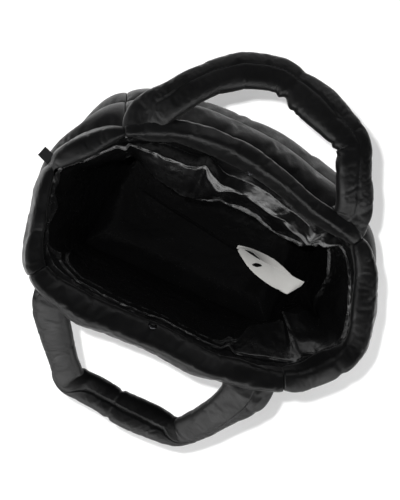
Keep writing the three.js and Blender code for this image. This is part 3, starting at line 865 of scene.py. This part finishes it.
def lining_controls(around):
    """Rings that the lining hangs through: edge on the band, hollow, crest, lip, shelf, belly and foot."""
    shape = {name: np.interp(around, LINING_SHAPE["around"], values, period=1.0) * MM
             for name, values in LINING_SHAPE.items() if name != "around"}
    half = rim_half_thickness(around)
    crest, drop, lip = shape["crest"], shape["drop"], shape["lip"]
    behind = np.minimum(np.maximum(half + 0.0015, crest - LEDGE_WIDTH), crest - 0.001)
    belly, fall, shelf = shape["belly"], shape["fall"], shape["shelf"]
    return (
        inset_ring(around, half * 0.8, np.full_like(half, LINING_EDGE_DROP)),
        inset_ring(around, behind, drop + shape["hollow"]),
        inset_ring(around, crest, drop),
        inset_ring(around, crest + lip, drop + lip * GENTLE_SLOPE),
        inset_ring(around, belly - shelf, fall - shelf * GENTLE_SLOPE),
        inset_ring(around, belly, fall),
        level_ring(LINING_FOOT_INSET, LINING_FOOT_HEIGHT, len(around)),
    )


def crease_height(around, down):
    """Tents over straight lines on the unrolled wall, tallest halfway along each line."""
    unrolled = np.array((LINING_GIRTH, LINING_DEPTH))
    place = np.stack((around, down), -1) * unrolled
    total = np.zeros(around.shape)
    for start_around, start_down, end_around, end_down, height, foot in zip(*LINING_CREASES.values()):
        turn = np.mod(end_around - start_around + 0.5, 1.0) - 0.5
        run = np.array((turn, end_down - start_down)) * unrolled
        reach = place - np.array((start_around, start_down)) * unrolled
        reach[..., 0] = np.mod(reach[..., 0] + LINING_GIRTH / 2, LINING_GIRTH) - LINING_GIRTH / 2
        along = np.clip(reach @ run / (run @ run), 0, 1)
        away = np.linalg.norm(reach - along[..., None] * run, axis=-1)
        tent = np.clip(1 - away / (foot * MM), 0, 1)
        total += height * MM * tent * (1 - 0.5 * np.abs(2 * along - 1))
    return total


def lining_walls(around):
    """Straight hangs between the control rings, with creases and crumple added inwards."""
    controls = lining_controls(around)
    rows = []
    for number, steps in enumerate(LINING_STEPS):
        share = np.arange(steps)[:, None, None] / steps
        rows.append(controls[number] * (1 - share) + controls[number + 1] * share)
    wall = np.concatenate((*rows, controls[-1][None]), 0)
    level = controls[0][None, :, 2]
    down = (level - wall[..., 2]) / (level - wall[-1, :, 2])
    loose = np.clip(down / 0.12, 0, 1) * np.clip((1 - down) / 0.15, 0, 1)
    inwards = -rim_normal(around)
    push = crease_height(np.broadcast_to(around, down.shape), down) + crumple(41, wall, size=0.0022)
    return wall + inwards[None] * (push * loose)[..., None]


def lining_floor(foot, around):
    """The floor from the foot of the wall in to its middle seam, where the two halves meet in a low welt."""
    turn = np.mod(around - LEFT_MIDDLE, 1.0)
    half = np.minimum(turn, 1 - turn) * 2
    across = FLOOR_SEAM_HALF * (2 * half - 1)
    depth = FLOOR_SEAM_SHIFT + FLOOR_SEAM_SLANT * across
    seam = np.stack((across, depth, np.full_like(half, FLOOR_HEIGHT)), -1)
    share = 1 - (1 - np.linspace(0, 1, FLOOR_ROWS + 1)[1:, None, None]) ** 1.7
    level = foot * (1 - share) + seam * share
    sink = np.clip(1 - share[..., 0] * 2.2, 0, 1) ** 2.4
    rise = np.abs(crumple(42, level, size=0.0012)) * np.clip((1 - share[..., 0]) * 3, 0, 1) * (1 - sink)
    welt = FLOOR_WELT * np.clip(1 - (1 - share[..., 0]) / 0.025, 0, 1)
    level[..., 2] = FLOOR_HEIGHT + (foot[..., 2] - FLOOR_HEIGHT) * sink + rise + welt
    return level


def welded(points, faces):
    """Joins points that lie on one another."""
    first, place = np.unique(np.round(points, 7), axis=0, return_index=True, return_inverse=True)[1:]
    return points[first], place.reshape(-1)[faces], first


def lining_piece():
    around = np.arange(LINING_AROUND) / LINING_AROUND
    walls = lining_walls(around)
    grid = np.concatenate((walls, lining_floor(walls[-1], around)), 0)
    rows, columns = grid.shape[:2]
    faces, corner_row, corner_column = grid_faces(rows, columns, joined=True)
    uv = np.stack((corner_column * LINING_GIRTH / columns, corner_row * LINING_MAP_HEIGHT / rows), -1)
    uv = uv.reshape(-1, 2)
    hold = np.full((rows, columns), SOFT_HOLD)
    hold[0] = 1.0
    hold[len(walls):] = 0.5
    hold[-1] = 1.0
    points, faces, kept = welded(grid.reshape(-1, 3), faces)
    piece = new_piece("lining_cup", points, faces.tolist(), uv)
    let_settle(piece, hold.ravel()[kept], excess=0.02, pressure=0.0, bending=0.5, stiffness=10.0)
    return piece


class PUFFER_OT_lining(bpy.types.Operator):
    """Makes the loose glossy lining."""

    bl_idname = "puffer.lining"
    bl_label = "Lining"

    def execute(self, context):
        piece = lining_piece()
        place_on_bag(piece, "lining", "glossy lining", "lining")
        return {"FINISHED"}


# Stitches

STITCH_ROUND = 6
STITCH_LENGTH = 0.0029
STITCH_RADIUS = 0.0003
STITCH_MARGIN = 0.006
SEWN_FROM = 8


def stitch_points(line, normal):
    """Short round-ended dashes an even pitch apart along a line, each lying just proud of the cloth."""
    run = run_along(line)
    middle = np.arange(STITCH_MARGIN, run[-1] - STITCH_MARGIN, sizes().stitch_pitch)

    def at(place, values):
        return np.stack([np.interp(place, run, values[:, axis]) for axis in range(3)], -1)

    axis = unit(at(middle + STITCH_LENGTH / 2, line) - at(middle - STITCH_LENGTH / 2, line))
    out = unit(at(middle, normal))
    side = np.cross(axis, out)
    shift = np.array((-0.5, -0.34, 0.34, 0.5)) * STITCH_LENGTH
    radius = np.array((0.3, 1.0, 1.0, 0.3)) * STITCH_RADIUS
    angle = 2 * np.pi * np.arange(STITCH_ROUND) / STITCH_ROUND
    spoke = np.cos(angle)[:, None] * out[:, None] + np.sin(angle)[:, None] * side[:, None]
    start = at(middle, line) + out * STITCH_RADIUS
    return (start[:, None, None] + axis[:, None, None] * shift[None, :, None, None]
            + spoke[:, None] * radius[None, :, None, None])


def stitch_piece(name, lines):
    points = np.concatenate([stitch_points(line, normal) for line, normal in lines])
    count, rows = points.shape[:2]
    wall = grid_faces(rows, STITCH_ROUND, joined=True)[0]
    first = (np.arange(count) * rows * STITCH_ROUND)[:, None]
    ring = np.arange(STITCH_ROUND)[None]
    faces = (first[:, :, None] + wall[None]).reshape(-1, 4).tolist()
    caps = (first + ring[:, ::-1]).tolist() + (first + (rows - 1) * STITCH_ROUND + ring).tolist()
    piece = new_piece(name, points, faces + caps)
    place_on_bag(piece, "shell", "sewing thread")
    return piece


class PUFFER_OT_stitches(bpy.types.Operator):
    """Sews dashes of thread along the walls' stitch lines and the handles' seams."""

    bl_idname = "puffer.stitches"
    bl_label = "Stitches"

    def execute(self, context):
        for side, node in enumerate(WALL_NODES):
            outer, _, normal = wall_grids(side)
            rows = np.arange(1, CHANNELS) * CHANNEL_STEPS
            stitch_piece(f"{node}_stitches", [(outer[row], normal[row]) for row in rows])
        for name, rows, folds in (("front", FRONT_HANDLE, FRONT_FOLDS), ("back", BACK_HANDLE, BACK_FOLDS)):
            rings, line, _ = handle_rings(rows, folds)
            sewn = slice(SEWN_FROM, -SEWN_FROM)
            stitch_piece(f"{name}_handle_stitches", [(rings[sewn, 0], (rings[:, 0] - line)[sewn])])
        return {"FINISHED"}


# Underside and trim

def level_ring(inset, height, count):
    """A level ring that follows the base edge at an inset."""
    around = np.arange(count) / count
    zero = np.zeros(count)
    normal = wall_normal(around, zero)
    normal[:, 2] = 0
    ring = wall_point(around, zero) - unit(normal) * inset
    ring[:, 2] = height
    return ring


BASE_ROUND = 160


class PUFFER_OT_base(bpy.types.Operator):
    """Makes the flat padded underside."""

    bl_idname = "puffer.base"
    bl_label = "Underside"

    def execute(self, context):
        profile = table(
            "inset height",
            (60, 0.0), (16, 0.0), (11, 0.15), (7, 0.9), (4.2, 2.2),
            (2.8, 4.0), (2.4, 5.5), (4.5, 7.4), (14, 8.0))
        rings = np.stack([level_ring(inset * MM, height * MM, BASE_ROUND)
                          for inset, height in zip(profile["inset"], profile["height"])])
        piece = tube_piece("base_panel_pad", rings, length=0.08, girth=0.9)
        place_on_bag(piece, "shell", "padded nylon", "base_panel")
        return {"FINISHED"}


SNAP_PROUD = 0.0006


def turned_piece(name, radius, height, centre, axis, count=40):
    """A profile of radius and height turned about an axis, closed at both ends."""
    side = unit(np.cross(axis, (0.3, 0.2, 0.9)))
    other = np.cross(axis, side)
    angle = 2 * np.pi * np.arange(count) / count
    spoke = np.cos(angle)[:, None] * side + np.sin(angle)[:, None] * other
    rings = centre + radius[:, None, None] * spoke[None] + height[:, None, None] * axis
    return tube_piece(name, rings, length=0.02, girth=0.03)


def snap_seat(around, rise):
    """A point on the band's inner face at an angle above its middle, and the face's direction there."""
    bag = sizes()
    place = np.array((around,))
    inwards = -rim_normal(place)[0]
    half = rim_half_thickness(place)[0]
    high = bag.band_half_height
    axis = unit(inwards * np.cos(rise) * high + UP * np.sin(rise) * half)
    return rim_point(place)[0] + inwards * half * np.cos(rise) + UP * high * np.sin(rise), axis


class PUFFER_OT_snaps(bpy.types.Operator):
    """Makes the two press stud halves on the band."""

    bl_idname = "puffer.snaps"
    bl_label = "Press Stud"

    def execute(self, context):
        radius = sizes().snap_radius
        socket = table(
            "radius height",
            (0.94, -0.35), (1.0, -0.1), (1.0, 0.12), (0.9, 0.24), (0.66, 0.27),
            (0.58, 0.2), (0.5, 0.2), (0.42, 0.06), (0.1, 0.06))
        stud = table(
            "radius height",
            (0.94, -0.35), (1.0, -0.1), (1.0, 0.1), (0.9, 0.2), (0.55, 0.22),
            (0.42, 0.26), (0.4, 0.4), (0.42, 0.5), (0.34, 0.58), (0.1, 0.6))
        for name, around, rise, half in (("front", 0.118, 0.55, socket), ("back", 0.629, -0.2, stud)):
            seat, axis = snap_seat(around, rise)
            piece = turned_piece(f"{name}_snap_half", half["radius"] * radius, half["height"] * radius,
                                 seat + axis * SNAP_PROUD, axis)
            place_on_bag(piece, "snap", "dark metal", f"{name}_snap")
        return {"FINISHED"}


# The side tag's place round the bag, how far it hangs in radians, and the shares of its length in a leg and
# in the bend; the rest is in metres
TAG_PLACE = 0.868
TAG_FALL = 0.3
TAG_LEG = 0.42
TAG_TURN = 0.16
TAG_BEND = 0.0012
TAG_ROOT = 0.001
TAG_GAP = 0.0008
TAG_BELLY = 0.0005
TAG_LIFT = 0.0016
TAG_MAP_LENGTH = 0.03


def thicken_tape(piece):
    tape = piece.modifiers.new("tape", "SOLIDIFY")
    tape.thickness = TAPE_THICKNESS
    tape.offset = 0.0


class PUFFER_OT_tag(bpy.types.Operator):
    """Makes the folded side tag."""

    bl_idname = "puffer.tag"
    bl_label = "Side Tag"

    def execute(self, context):
        bag = sizes()
        place = np.array((TAG_PLACE,))
        outwards = rim_normal(place)[0]
        lean = outwards * np.cos(TAG_FALL) - UP * np.sin(TAG_FALL)
        run = np.cross(UP, outwards)
        high = np.cross(lean, run)
        reach = rim_half_thickness(place)[0] * np.cos(TAG_FALL) - TAG_ROOT
        root = rim_point(place)[0] + outwards * reach - UP * bag.band_half_height * np.sin(TAG_FALL)
        turn = np.linspace(0, 1, 41)
        leg = np.clip(np.minimum(turn, 1 - turn) / TAG_LEG, 0, 1)
        bend = np.clip((turn - TAG_LEG) / TAG_TURN, 0, 1) * np.pi - np.pi / 2
        out = leg * (bag.tag_length - TAG_BEND) + np.cos(bend) * TAG_BEND * (leg >= 1)
        lift = np.sin(bend) * (TAG_GAP + TAG_BELLY * np.sin(np.pi * leg))
        width = np.linspace(-0.5, 0.5, 13) * bag.tag_width
        curl = TAG_LIFT * (out / bag.tag_length) ** 2
        points = (root + lean * out[:, None, None] + high * lift[:, None, None]
                  + run * width[None, :, None] + UP * curl[:, None, None])
        faces, corner_row, corner_column = grid_faces(*points.shape[:2])
        spans = np.array(points.shape[:2]) - 1
        uv = np.stack((corner_column * bag.tag_width / spans[1], corner_row * TAG_MAP_LENGTH / spans[0]), -1)
        piece = new_piece("side_tag_loop", points, faces.tolist(), uv.reshape(-1, 2))
        thicken_tape(piece)
        place_on_bag(piece, "tag", "woven tape", "side_tag")
        return {"FINISHED"}


LABEL_STEPS = 120
LABEL_ACROSS = 24


def label_grid():
    """The tape along its line: turned about it, narrow at the foot, cupped, its fold askew."""
    along, length = even_places(LABEL_LINE, LABEL_STEPS + 1)
    stacked = np.stack([LABEL_LINE[name] for name in ("x", "y", "z", "width", "roll")], -1)
    values = open_curve(stacked, along)
    line = values[:, :3] * MM
    tangent = unit(np.gradient(line, axis=0))
    across = unit(np.array((0.0, 1.0, 0.0)) - tangent * tangent[:, 1:2])
    high = np.cross(tangent, across)
    roll = np.radians(values[:, 4:5])
    across, high = across * np.cos(roll) + high * np.sin(roll), high * np.cos(roll) - across * np.sin(roll)
    place = np.linspace(-1, 1, LABEL_ACROSS + 1)
    wide = place[None] * values[:, 3:4] * MM / 2
    turn = np.linspace(0, 2, LABEL_STEPS + 1)
    cup = (place[None] ** 2 - 0.4) * LABEL_CUP * np.sin(np.pi * turn)[:, None]
    points = line[:, None] + across[:, None] * wide[..., None] + high[:, None] * cup[..., None]
    points[..., 0] += LABEL_SKEW * place[None] * np.exp(-((turn - 1) / 0.3) ** 2)[:, None]
    return points, length


def punch(points, faces):
    """Leaves out the faces in the upright hole and moves the points left on its edge out to the edge."""
    flat = points.reshape(-1, 3)
    reach = (flat[:, :2] - (LABEL_HOLE["x"] * MM, LABEL_HOLE["y"] * MM)) / MM
    slant = np.radians(LABEL_HOLE["turn"])
    turned = np.stack((reach[:, 0] * np.cos(slant) + reach[:, 1] * np.sin(slant),
                       reach[:, 1] * np.cos(slant) - reach[:, 0] * np.sin(slant)), -1)
    away = np.linalg.norm(turned / (LABEL_HOLE["long"], LABEL_HOLE["short"]), axis=-1)
    kept = ~(away[faces] < 1).all(1)
    used = np.zeros(len(flat), bool)
    used[faces[kept]] = True
    edge = used & (away < 1)
    flat[edge, :2] += reach[edge] * MM * (1 / np.maximum(away[edge], 0.2) - 1)[:, None]
    return flat, kept, used


class PUFFER_OT_label(bpy.types.Operator):
    """Makes the white folded label in the lining."""

    bl_idname = "puffer.label"
    bl_label = "Inner Label"

    def execute(self, context):
        points, length = label_grid()
        faces, corner_row, corner_column = grid_faces(*points.shape[:2])
        uv = np.stack((corner_column * LABEL_MAP_WIDTH / LABEL_ACROSS, corner_row * length / LABEL_STEPS), -1)
        points, kept, used = punch(points, faces)
        faces = (np.cumsum(used) - 1)[faces[kept]]
        piece = new_piece("inner_label_tape", points[used], faces.tolist(), uv[kept].reshape(-1, 2))
        thicken_tape(piece)
        smooth_finely(piece)
        piece.visible_glossy = False
        place_on_bag(piece, "label", "white satin", "inner_label")
        return {"FINISHED"}


# Materials

NOISE_LOW = 0.3
NOISE_HIGH = 0.7


def add_node(tree, kind, links=None, **values):
    """A shader node with its settings, its socket values by name and its incoming links."""
    node = tree.nodes.new(kind)
    for name, value in values.items():
        if name in node.inputs:
            node.inputs[name].default_value = value
        else:
            setattr(node, name, value)
    for socket, source in (links or {}).items():
        tree.links.new(source, node.inputs[socket])
    return node


def new_material(name):
    material = bpy.data.materials.new(name)
    material.use_nodes = True
    tree = material.node_tree
    shader = tree.nodes["Principled BSDF"]
    return tree, shader


def weave_height(tree, threads_per_metre):
    """Two crossed sets of fine waves on the piece's own map, as a plain weave."""
    place = add_node(tree, "ShaderNodeUVMap", uv_map="cloth")
    scale = threads_per_metre / 20.0
    both = add_node(tree, "ShaderNodeMath", operation="ADD")
    for number, axis in enumerate("XY"):
        threads = add_node(tree, "ShaderNodeTexWave", {"Vector": place.outputs["UV"]}, bands_direction=axis,
                           Scale=scale * np.pi, Distortion=0.6, Detail=1.0)
        tree.links.new(threads.outputs["Fac"], both.inputs[number])
    return both.outputs[0]


def noise_on(tree, scale, detail=4.0, roughness=0.55):
    place = add_node(tree, "ShaderNodeTexCoord")
    return add_node(tree, "ShaderNodeTexNoise", {"Vector": place.outputs["Object"]},
                    Scale=scale, Detail=detail, Roughness=roughness).outputs["Fac"]


def spread(tree, source, low, high):
    """Maps the middle of a noise on to a range."""
    node = add_node(tree, "ShaderNodeMapRange", {"Value": source},
                    **{"From Min": NOISE_LOW, "From Max": NOISE_HIGH, "To Min": low, "To Max": high})
    return node.outputs["Result"]


def tint(tree, source, dark, light):
    ramp = add_node(tree, "ShaderNodeValToRGB", {"Fac": source})
    ramp.color_ramp.elements[0].position = NOISE_LOW
    ramp.color_ramp.elements[1].position = NOISE_HIGH
    ramp.color_ramp.elements[0].color = (*dark, 1)
    ramp.color_ramp.elements[1].color = (*light, 1)
    return ramp.outputs["Color"]


def bump(tree, height, distance, strength, under=None):
    node = add_node(tree, "ShaderNodeBump", {"Height": height}, Distance=distance, Strength=strength)
    if under is not None:
        tree.links.new(under, node.inputs["Normal"])
    return node.outputs["Normal"]


def shade(colour, factor):
    return tuple(min(1.0, value * factor) for value in colour)


def dress(tree, shader, tone, dark, light, gloss, smooth, rough):
    """Tints the base colour by one value and spreads the roughness by another."""
    tree.links.new(tint(tree, tone, dark, light), shader.inputs["Base Color"])
    tree.links.new(spread(tree, gloss, smooth, rough), shader.inputs["Roughness"])


def make_padded_nylon():
    """Fine plain-woven nylon with a soft sheen, faint crumple and slight change of tone."""
    look = finish()
    tree, shader = new_material("padded nylon")
    dress(tree, shader, noise_on(tree, 26.0), shade(look.shell_colour, 0.75), shade(look.shell_colour, 1.3),
          noise_on(tree, 60.0, detail=5.0), look.shell_roughness - 0.07, look.shell_roughness + 0.08)
    crinkle = bump(tree, noise_on(tree, 110.0, detail=6.0, roughness=0.6), 0.0012, 0.35)
    tree.links.new(bump(tree, weave_height(tree, 2200.0), 0.00006, 0.5, crinkle), shader.inputs["Normal"])
    shader.inputs["Specular IOR Level"].default_value = 0.38
    shader.inputs["Sheen Weight"].default_value = 0.02
    shader.inputs["Sheen Roughness"].default_value = 0.4


def make_glossy_lining():
    """Thin coated film, nearly black, with sharp gloss and small crinkles."""
    look = finish()
    tree, shader = new_material("glossy lining")
    dress(tree, shader, noise_on(tree, 18.0), shade(look.lining_colour, 0.8), shade(look.lining_colour, 1.25),
          noise_on(tree, 40.0, detail=5.0), look.lining_roughness - 0.06, look.lining_roughness + 0.1)
    crinkle = bump(tree, noise_on(tree, 75.0, detail=5.0, roughness=0.5), 0.003, 0.35)
    tree.links.new(bump(tree, weave_height(tree, 3000.0), 0.00004, 0.3, crinkle), shader.inputs["Normal"])
    shader.inputs["Specular IOR Level"].default_value = 0.85


def make_white_satin():
    """White satin tape with a fine rib."""
    look = finish()
    tree, shader = new_material("white satin")
    dress(tree, shader, noise_on(tree, 90.0), shade(look.label_colour, 0.94), look.label_colour,
          noise_on(tree, 300.0), 0.42, 0.6)
    tree.links.new(bump(tree, weave_height(tree, 1600.0), 0.00008, 0.5), shader.inputs["Normal"])
    shader.inputs["Sheen Weight"].default_value = 0.1


def make_woven_tape():
    """Black woven tape with a visible weave."""
    look = finish()
    tree, shader = new_material("woven tape")
    height = weave_height(tree, 1400.0)
    dress(tree, shader, height, shade(look.shell_colour, 0.9), shade(look.shell_colour, 4.0),
          noise_on(tree, 400.0), 0.5, 0.7)
    tree.links.new(bump(tree, height, 0.00015, 0.8), shader.inputs["Normal"])


def make_dark_metal():
    """Plated press stud with fine wear."""
    look = finish()
    tree, shader = new_material("dark metal")
    dress(tree, shader, noise_on(tree, 500.0), shade(look.metal_colour, 0.7), shade(look.metal_colour, 1.2),
          noise_on(tree, 900.0), 0.24, 0.42)
    shader.inputs["Metallic"].default_value = 1.0


def make_sewing_thread():
    """Twisted polyester thread, a little lighter than the cloth."""
    look = finish()
    tree, shader = new_material("sewing thread")
    twist = noise_on(tree, 2400.0, detail=2.0)
    dress(tree, shader, twist, shade(look.thread_colour, 0.6), shade(look.thread_colour, 1.4),
          twist, 0.5, 0.7)


def make_floor():
    """Matt white studio sweep."""
    look = finish()
    tree, shader = new_material("studio floor")
    dress(tree, shader, noise_on(tree, 3.0), shade(look.floor_colour, 0.99), look.floor_colour,
          noise_on(tree, 8.0), 0.85, 0.95)


class PUFFER_OT_materials(bpy.types.Operator):
    """Makes the cloths, metal and floor finishes."""

    bl_idname = "puffer.materials"
    bl_label = "Materials"

    def execute(self, context):
        make_padded_nylon()
        make_glossy_lining()
        make_white_satin()
        make_woven_tape()
        make_dark_metal()
        make_sewing_thread()
        make_floor()
        return {"FINISHED"}


# Stage

# Lamps by bearing and height angle in degrees, distance, width and height in metres, watts, and whether gloss
# shows them
LAMPS = table(
    "bearing height distance wide tall watts gloss",
    (-98, 32, 1.8, 1.8, 0.8, 19, 1),
    (100, 28, 1.8, 1.8, 0.6, 5, 1),
    (-35, 30, 1.8, 1.2, 0.6, 10, 1),
    (200, 28, 1.8, 1.2, 0.6, 3, 1),
    (136.3, 81.3, 0.974, 0.02, 0.02, 7, 0),
    (115, 50, 1.8, 1.8, 1.8, 18, 0),
)
FLOOR_RADIUS = 1.4
FLOOR_LEVEL = -0.0002


def aim_axes(direction):
    """A turn whose own Z axis points along a direction, with its X axis level."""
    back = Vector(direction).normalized()
    right = Vector((0, 0, 1)).cross(back).normalized()
    return Matrix((right, back.cross(right), back)).transposed().to_4x4()


class PUFFER_OT_stage(bpy.types.Operator):
    """Sets out the floor, the lamps, the backdrop and the camera."""

    bl_idname = "puffer.stage"
    bl_label = "Stage"

    def execute(self, context):
        studio = context.scene.puffer_studio
        self.lay_floor()
        for row in zip(*LAMPS.values()):
            self.hang_lamp(*row, studio.light)
        self.set_camera(context, studio)
        world = bpy.data.worlds.new("studio")
        world.use_nodes = True
        background = world.node_tree.nodes["Background"]
        background.inputs["Color"].default_value = (1, 1, 1, 1)
        seen = add_node(world.node_tree, "ShaderNodeLightPath")
        strength = add_node(world.node_tree, "ShaderNodeMapRange", {"Value": seen.outputs["Is Camera Ray"]},
                            **{"To Min": studio.ambient * studio.light, "To Max": studio.backdrop})
        world.node_tree.links.new(strength.outputs["Result"], background.inputs["Strength"])
        context.scene.world = world
        context.scene.view_settings.view_transform = "Standard"
        return {"FINISHED"}

    def lay_floor(self):
        """A round floor: a square grid whose rows and columns are drawn in to a disc."""
        span = np.linspace(-1.0, 1.0, 49)
        u, v = np.meshgrid(span, span)
        x, y = u * np.sqrt(1 - v ** 2 / 2), v * np.sqrt(1 - u ** 2 / 2)
        points = np.stack((x * FLOOR_RADIUS, y * FLOOR_RADIUS, np.full_like(x, FLOOR_LEVEL)), -1)
        floor = new_piece("floor", points, grid_faces(*x.shape)[0].tolist())
        floor.data.materials.append(bpy.data.materials["studio floor"])

    def hang_lamp(self, bearing, height, distance, wide, tall, watts, gloss, strength):
        bearing, height = np.radians((bearing, height))
        level = np.cos(height)
        direction = np.array((np.cos(bearing) * level, np.sin(bearing) * level, np.sin(height)))
        lamp = bpy.data.lights.new("lamp", "AREA")
        lamp.shape = "RECTANGLE"
        lamp.size = wide
        lamp.size_y = tall
        lamp.energy = watts * strength
        holder = bpy.data.objects.new("lamp", lamp)
        holder.matrix_world = Matrix.Translation(direction * distance) @ aim_axes(direction)
        holder.visible_glossy = bool(gloss)
        bpy.context.scene.collection.objects.link(holder)

    def set_camera(self, context, studio):
        turn, tilt = studio.azimuth, studio.elevation
        back = Vector((np.sin(turn) * np.cos(tilt), -np.cos(turn) * np.cos(tilt), np.sin(tilt)))
        right = Vector((np.cos(turn), np.sin(turn), 0))
        axes = Matrix((right, back.cross(right), back)).transposed().to_4x4()
        lens = bpy.data.cameras.new("camera")
        lens.lens = studio.lens
        lens.sensor_width = 36.0
        camera = bpy.data.objects.new("camera", lens)
        camera.matrix_world = Matrix.Translation(Vector(studio.aim) + back * studio.distance) @ axes
        context.scene.collection.objects.link(camera)
        context.scene.camera = camera


class PUFFER_PT_sidebar(bpy.types.Panel):
    """Lists the steps and the settings in the 3D view's sidebar."""

    bl_idname = "PUFFER_PT_sidebar"
    bl_label = "Puffer Tote"
    bl_space_type = "VIEW_3D"
    bl_region_type = "UI"
    bl_category = "Puffer Tote"

    def draw(self, context):
        for step in STEPS:
            self.layout.operator(step.bl_idname)
        for group in (context.scene.puffer_sizes, context.scene.puffer_finish, context.scene.puffer_studio):
            box = self.layout.box()
            for name in group.__annotations__:
                box.prop(group, name)


STEPS = (
    PUFFER_OT_materials,
    PUFFER_OT_walls,
    PUFFER_OT_band,
    PUFFER_OT_handles,
    PUFFER_OT_lining,
    PUFFER_OT_settle,
    PUFFER_OT_stitches,
    PUFFER_OT_base,
    PUFFER_OT_snaps,
    PUFFER_OT_tag,
    PUFFER_OT_label,
    PUFFER_OT_stage,
)
CLASSES = (BagSizes, BagFinish, StudioSettings, *STEPS, PUFFER_PT_sidebar)


def register():
    for kind in CLASSES:
        bpy.utils.register_class(kind)
    bpy.types.Scene.puffer_sizes = bpy.props.PointerProperty(type=BagSizes)
    bpy.types.Scene.puffer_finish = bpy.props.PointerProperty(type=BagFinish)
    bpy.types.Scene.puffer_studio = bpy.props.PointerProperty(type=StudioSettings)


def unregister():
    del bpy.types.Scene.puffer_studio
    del bpy.types.Scene.puffer_finish
    del bpy.types.Scene.puffer_sizes
    for kind in reversed(CLASSES):
        bpy.utils.unregister_class(kind)


def main():
    """Registers the add-on and makes every piece in order."""
    register()
    for step in STEPS:
        group, name = step.bl_idname.split(".")
        getattr(getattr(bpy.ops, group), name)()


if __name__ == "__main__":
    main()
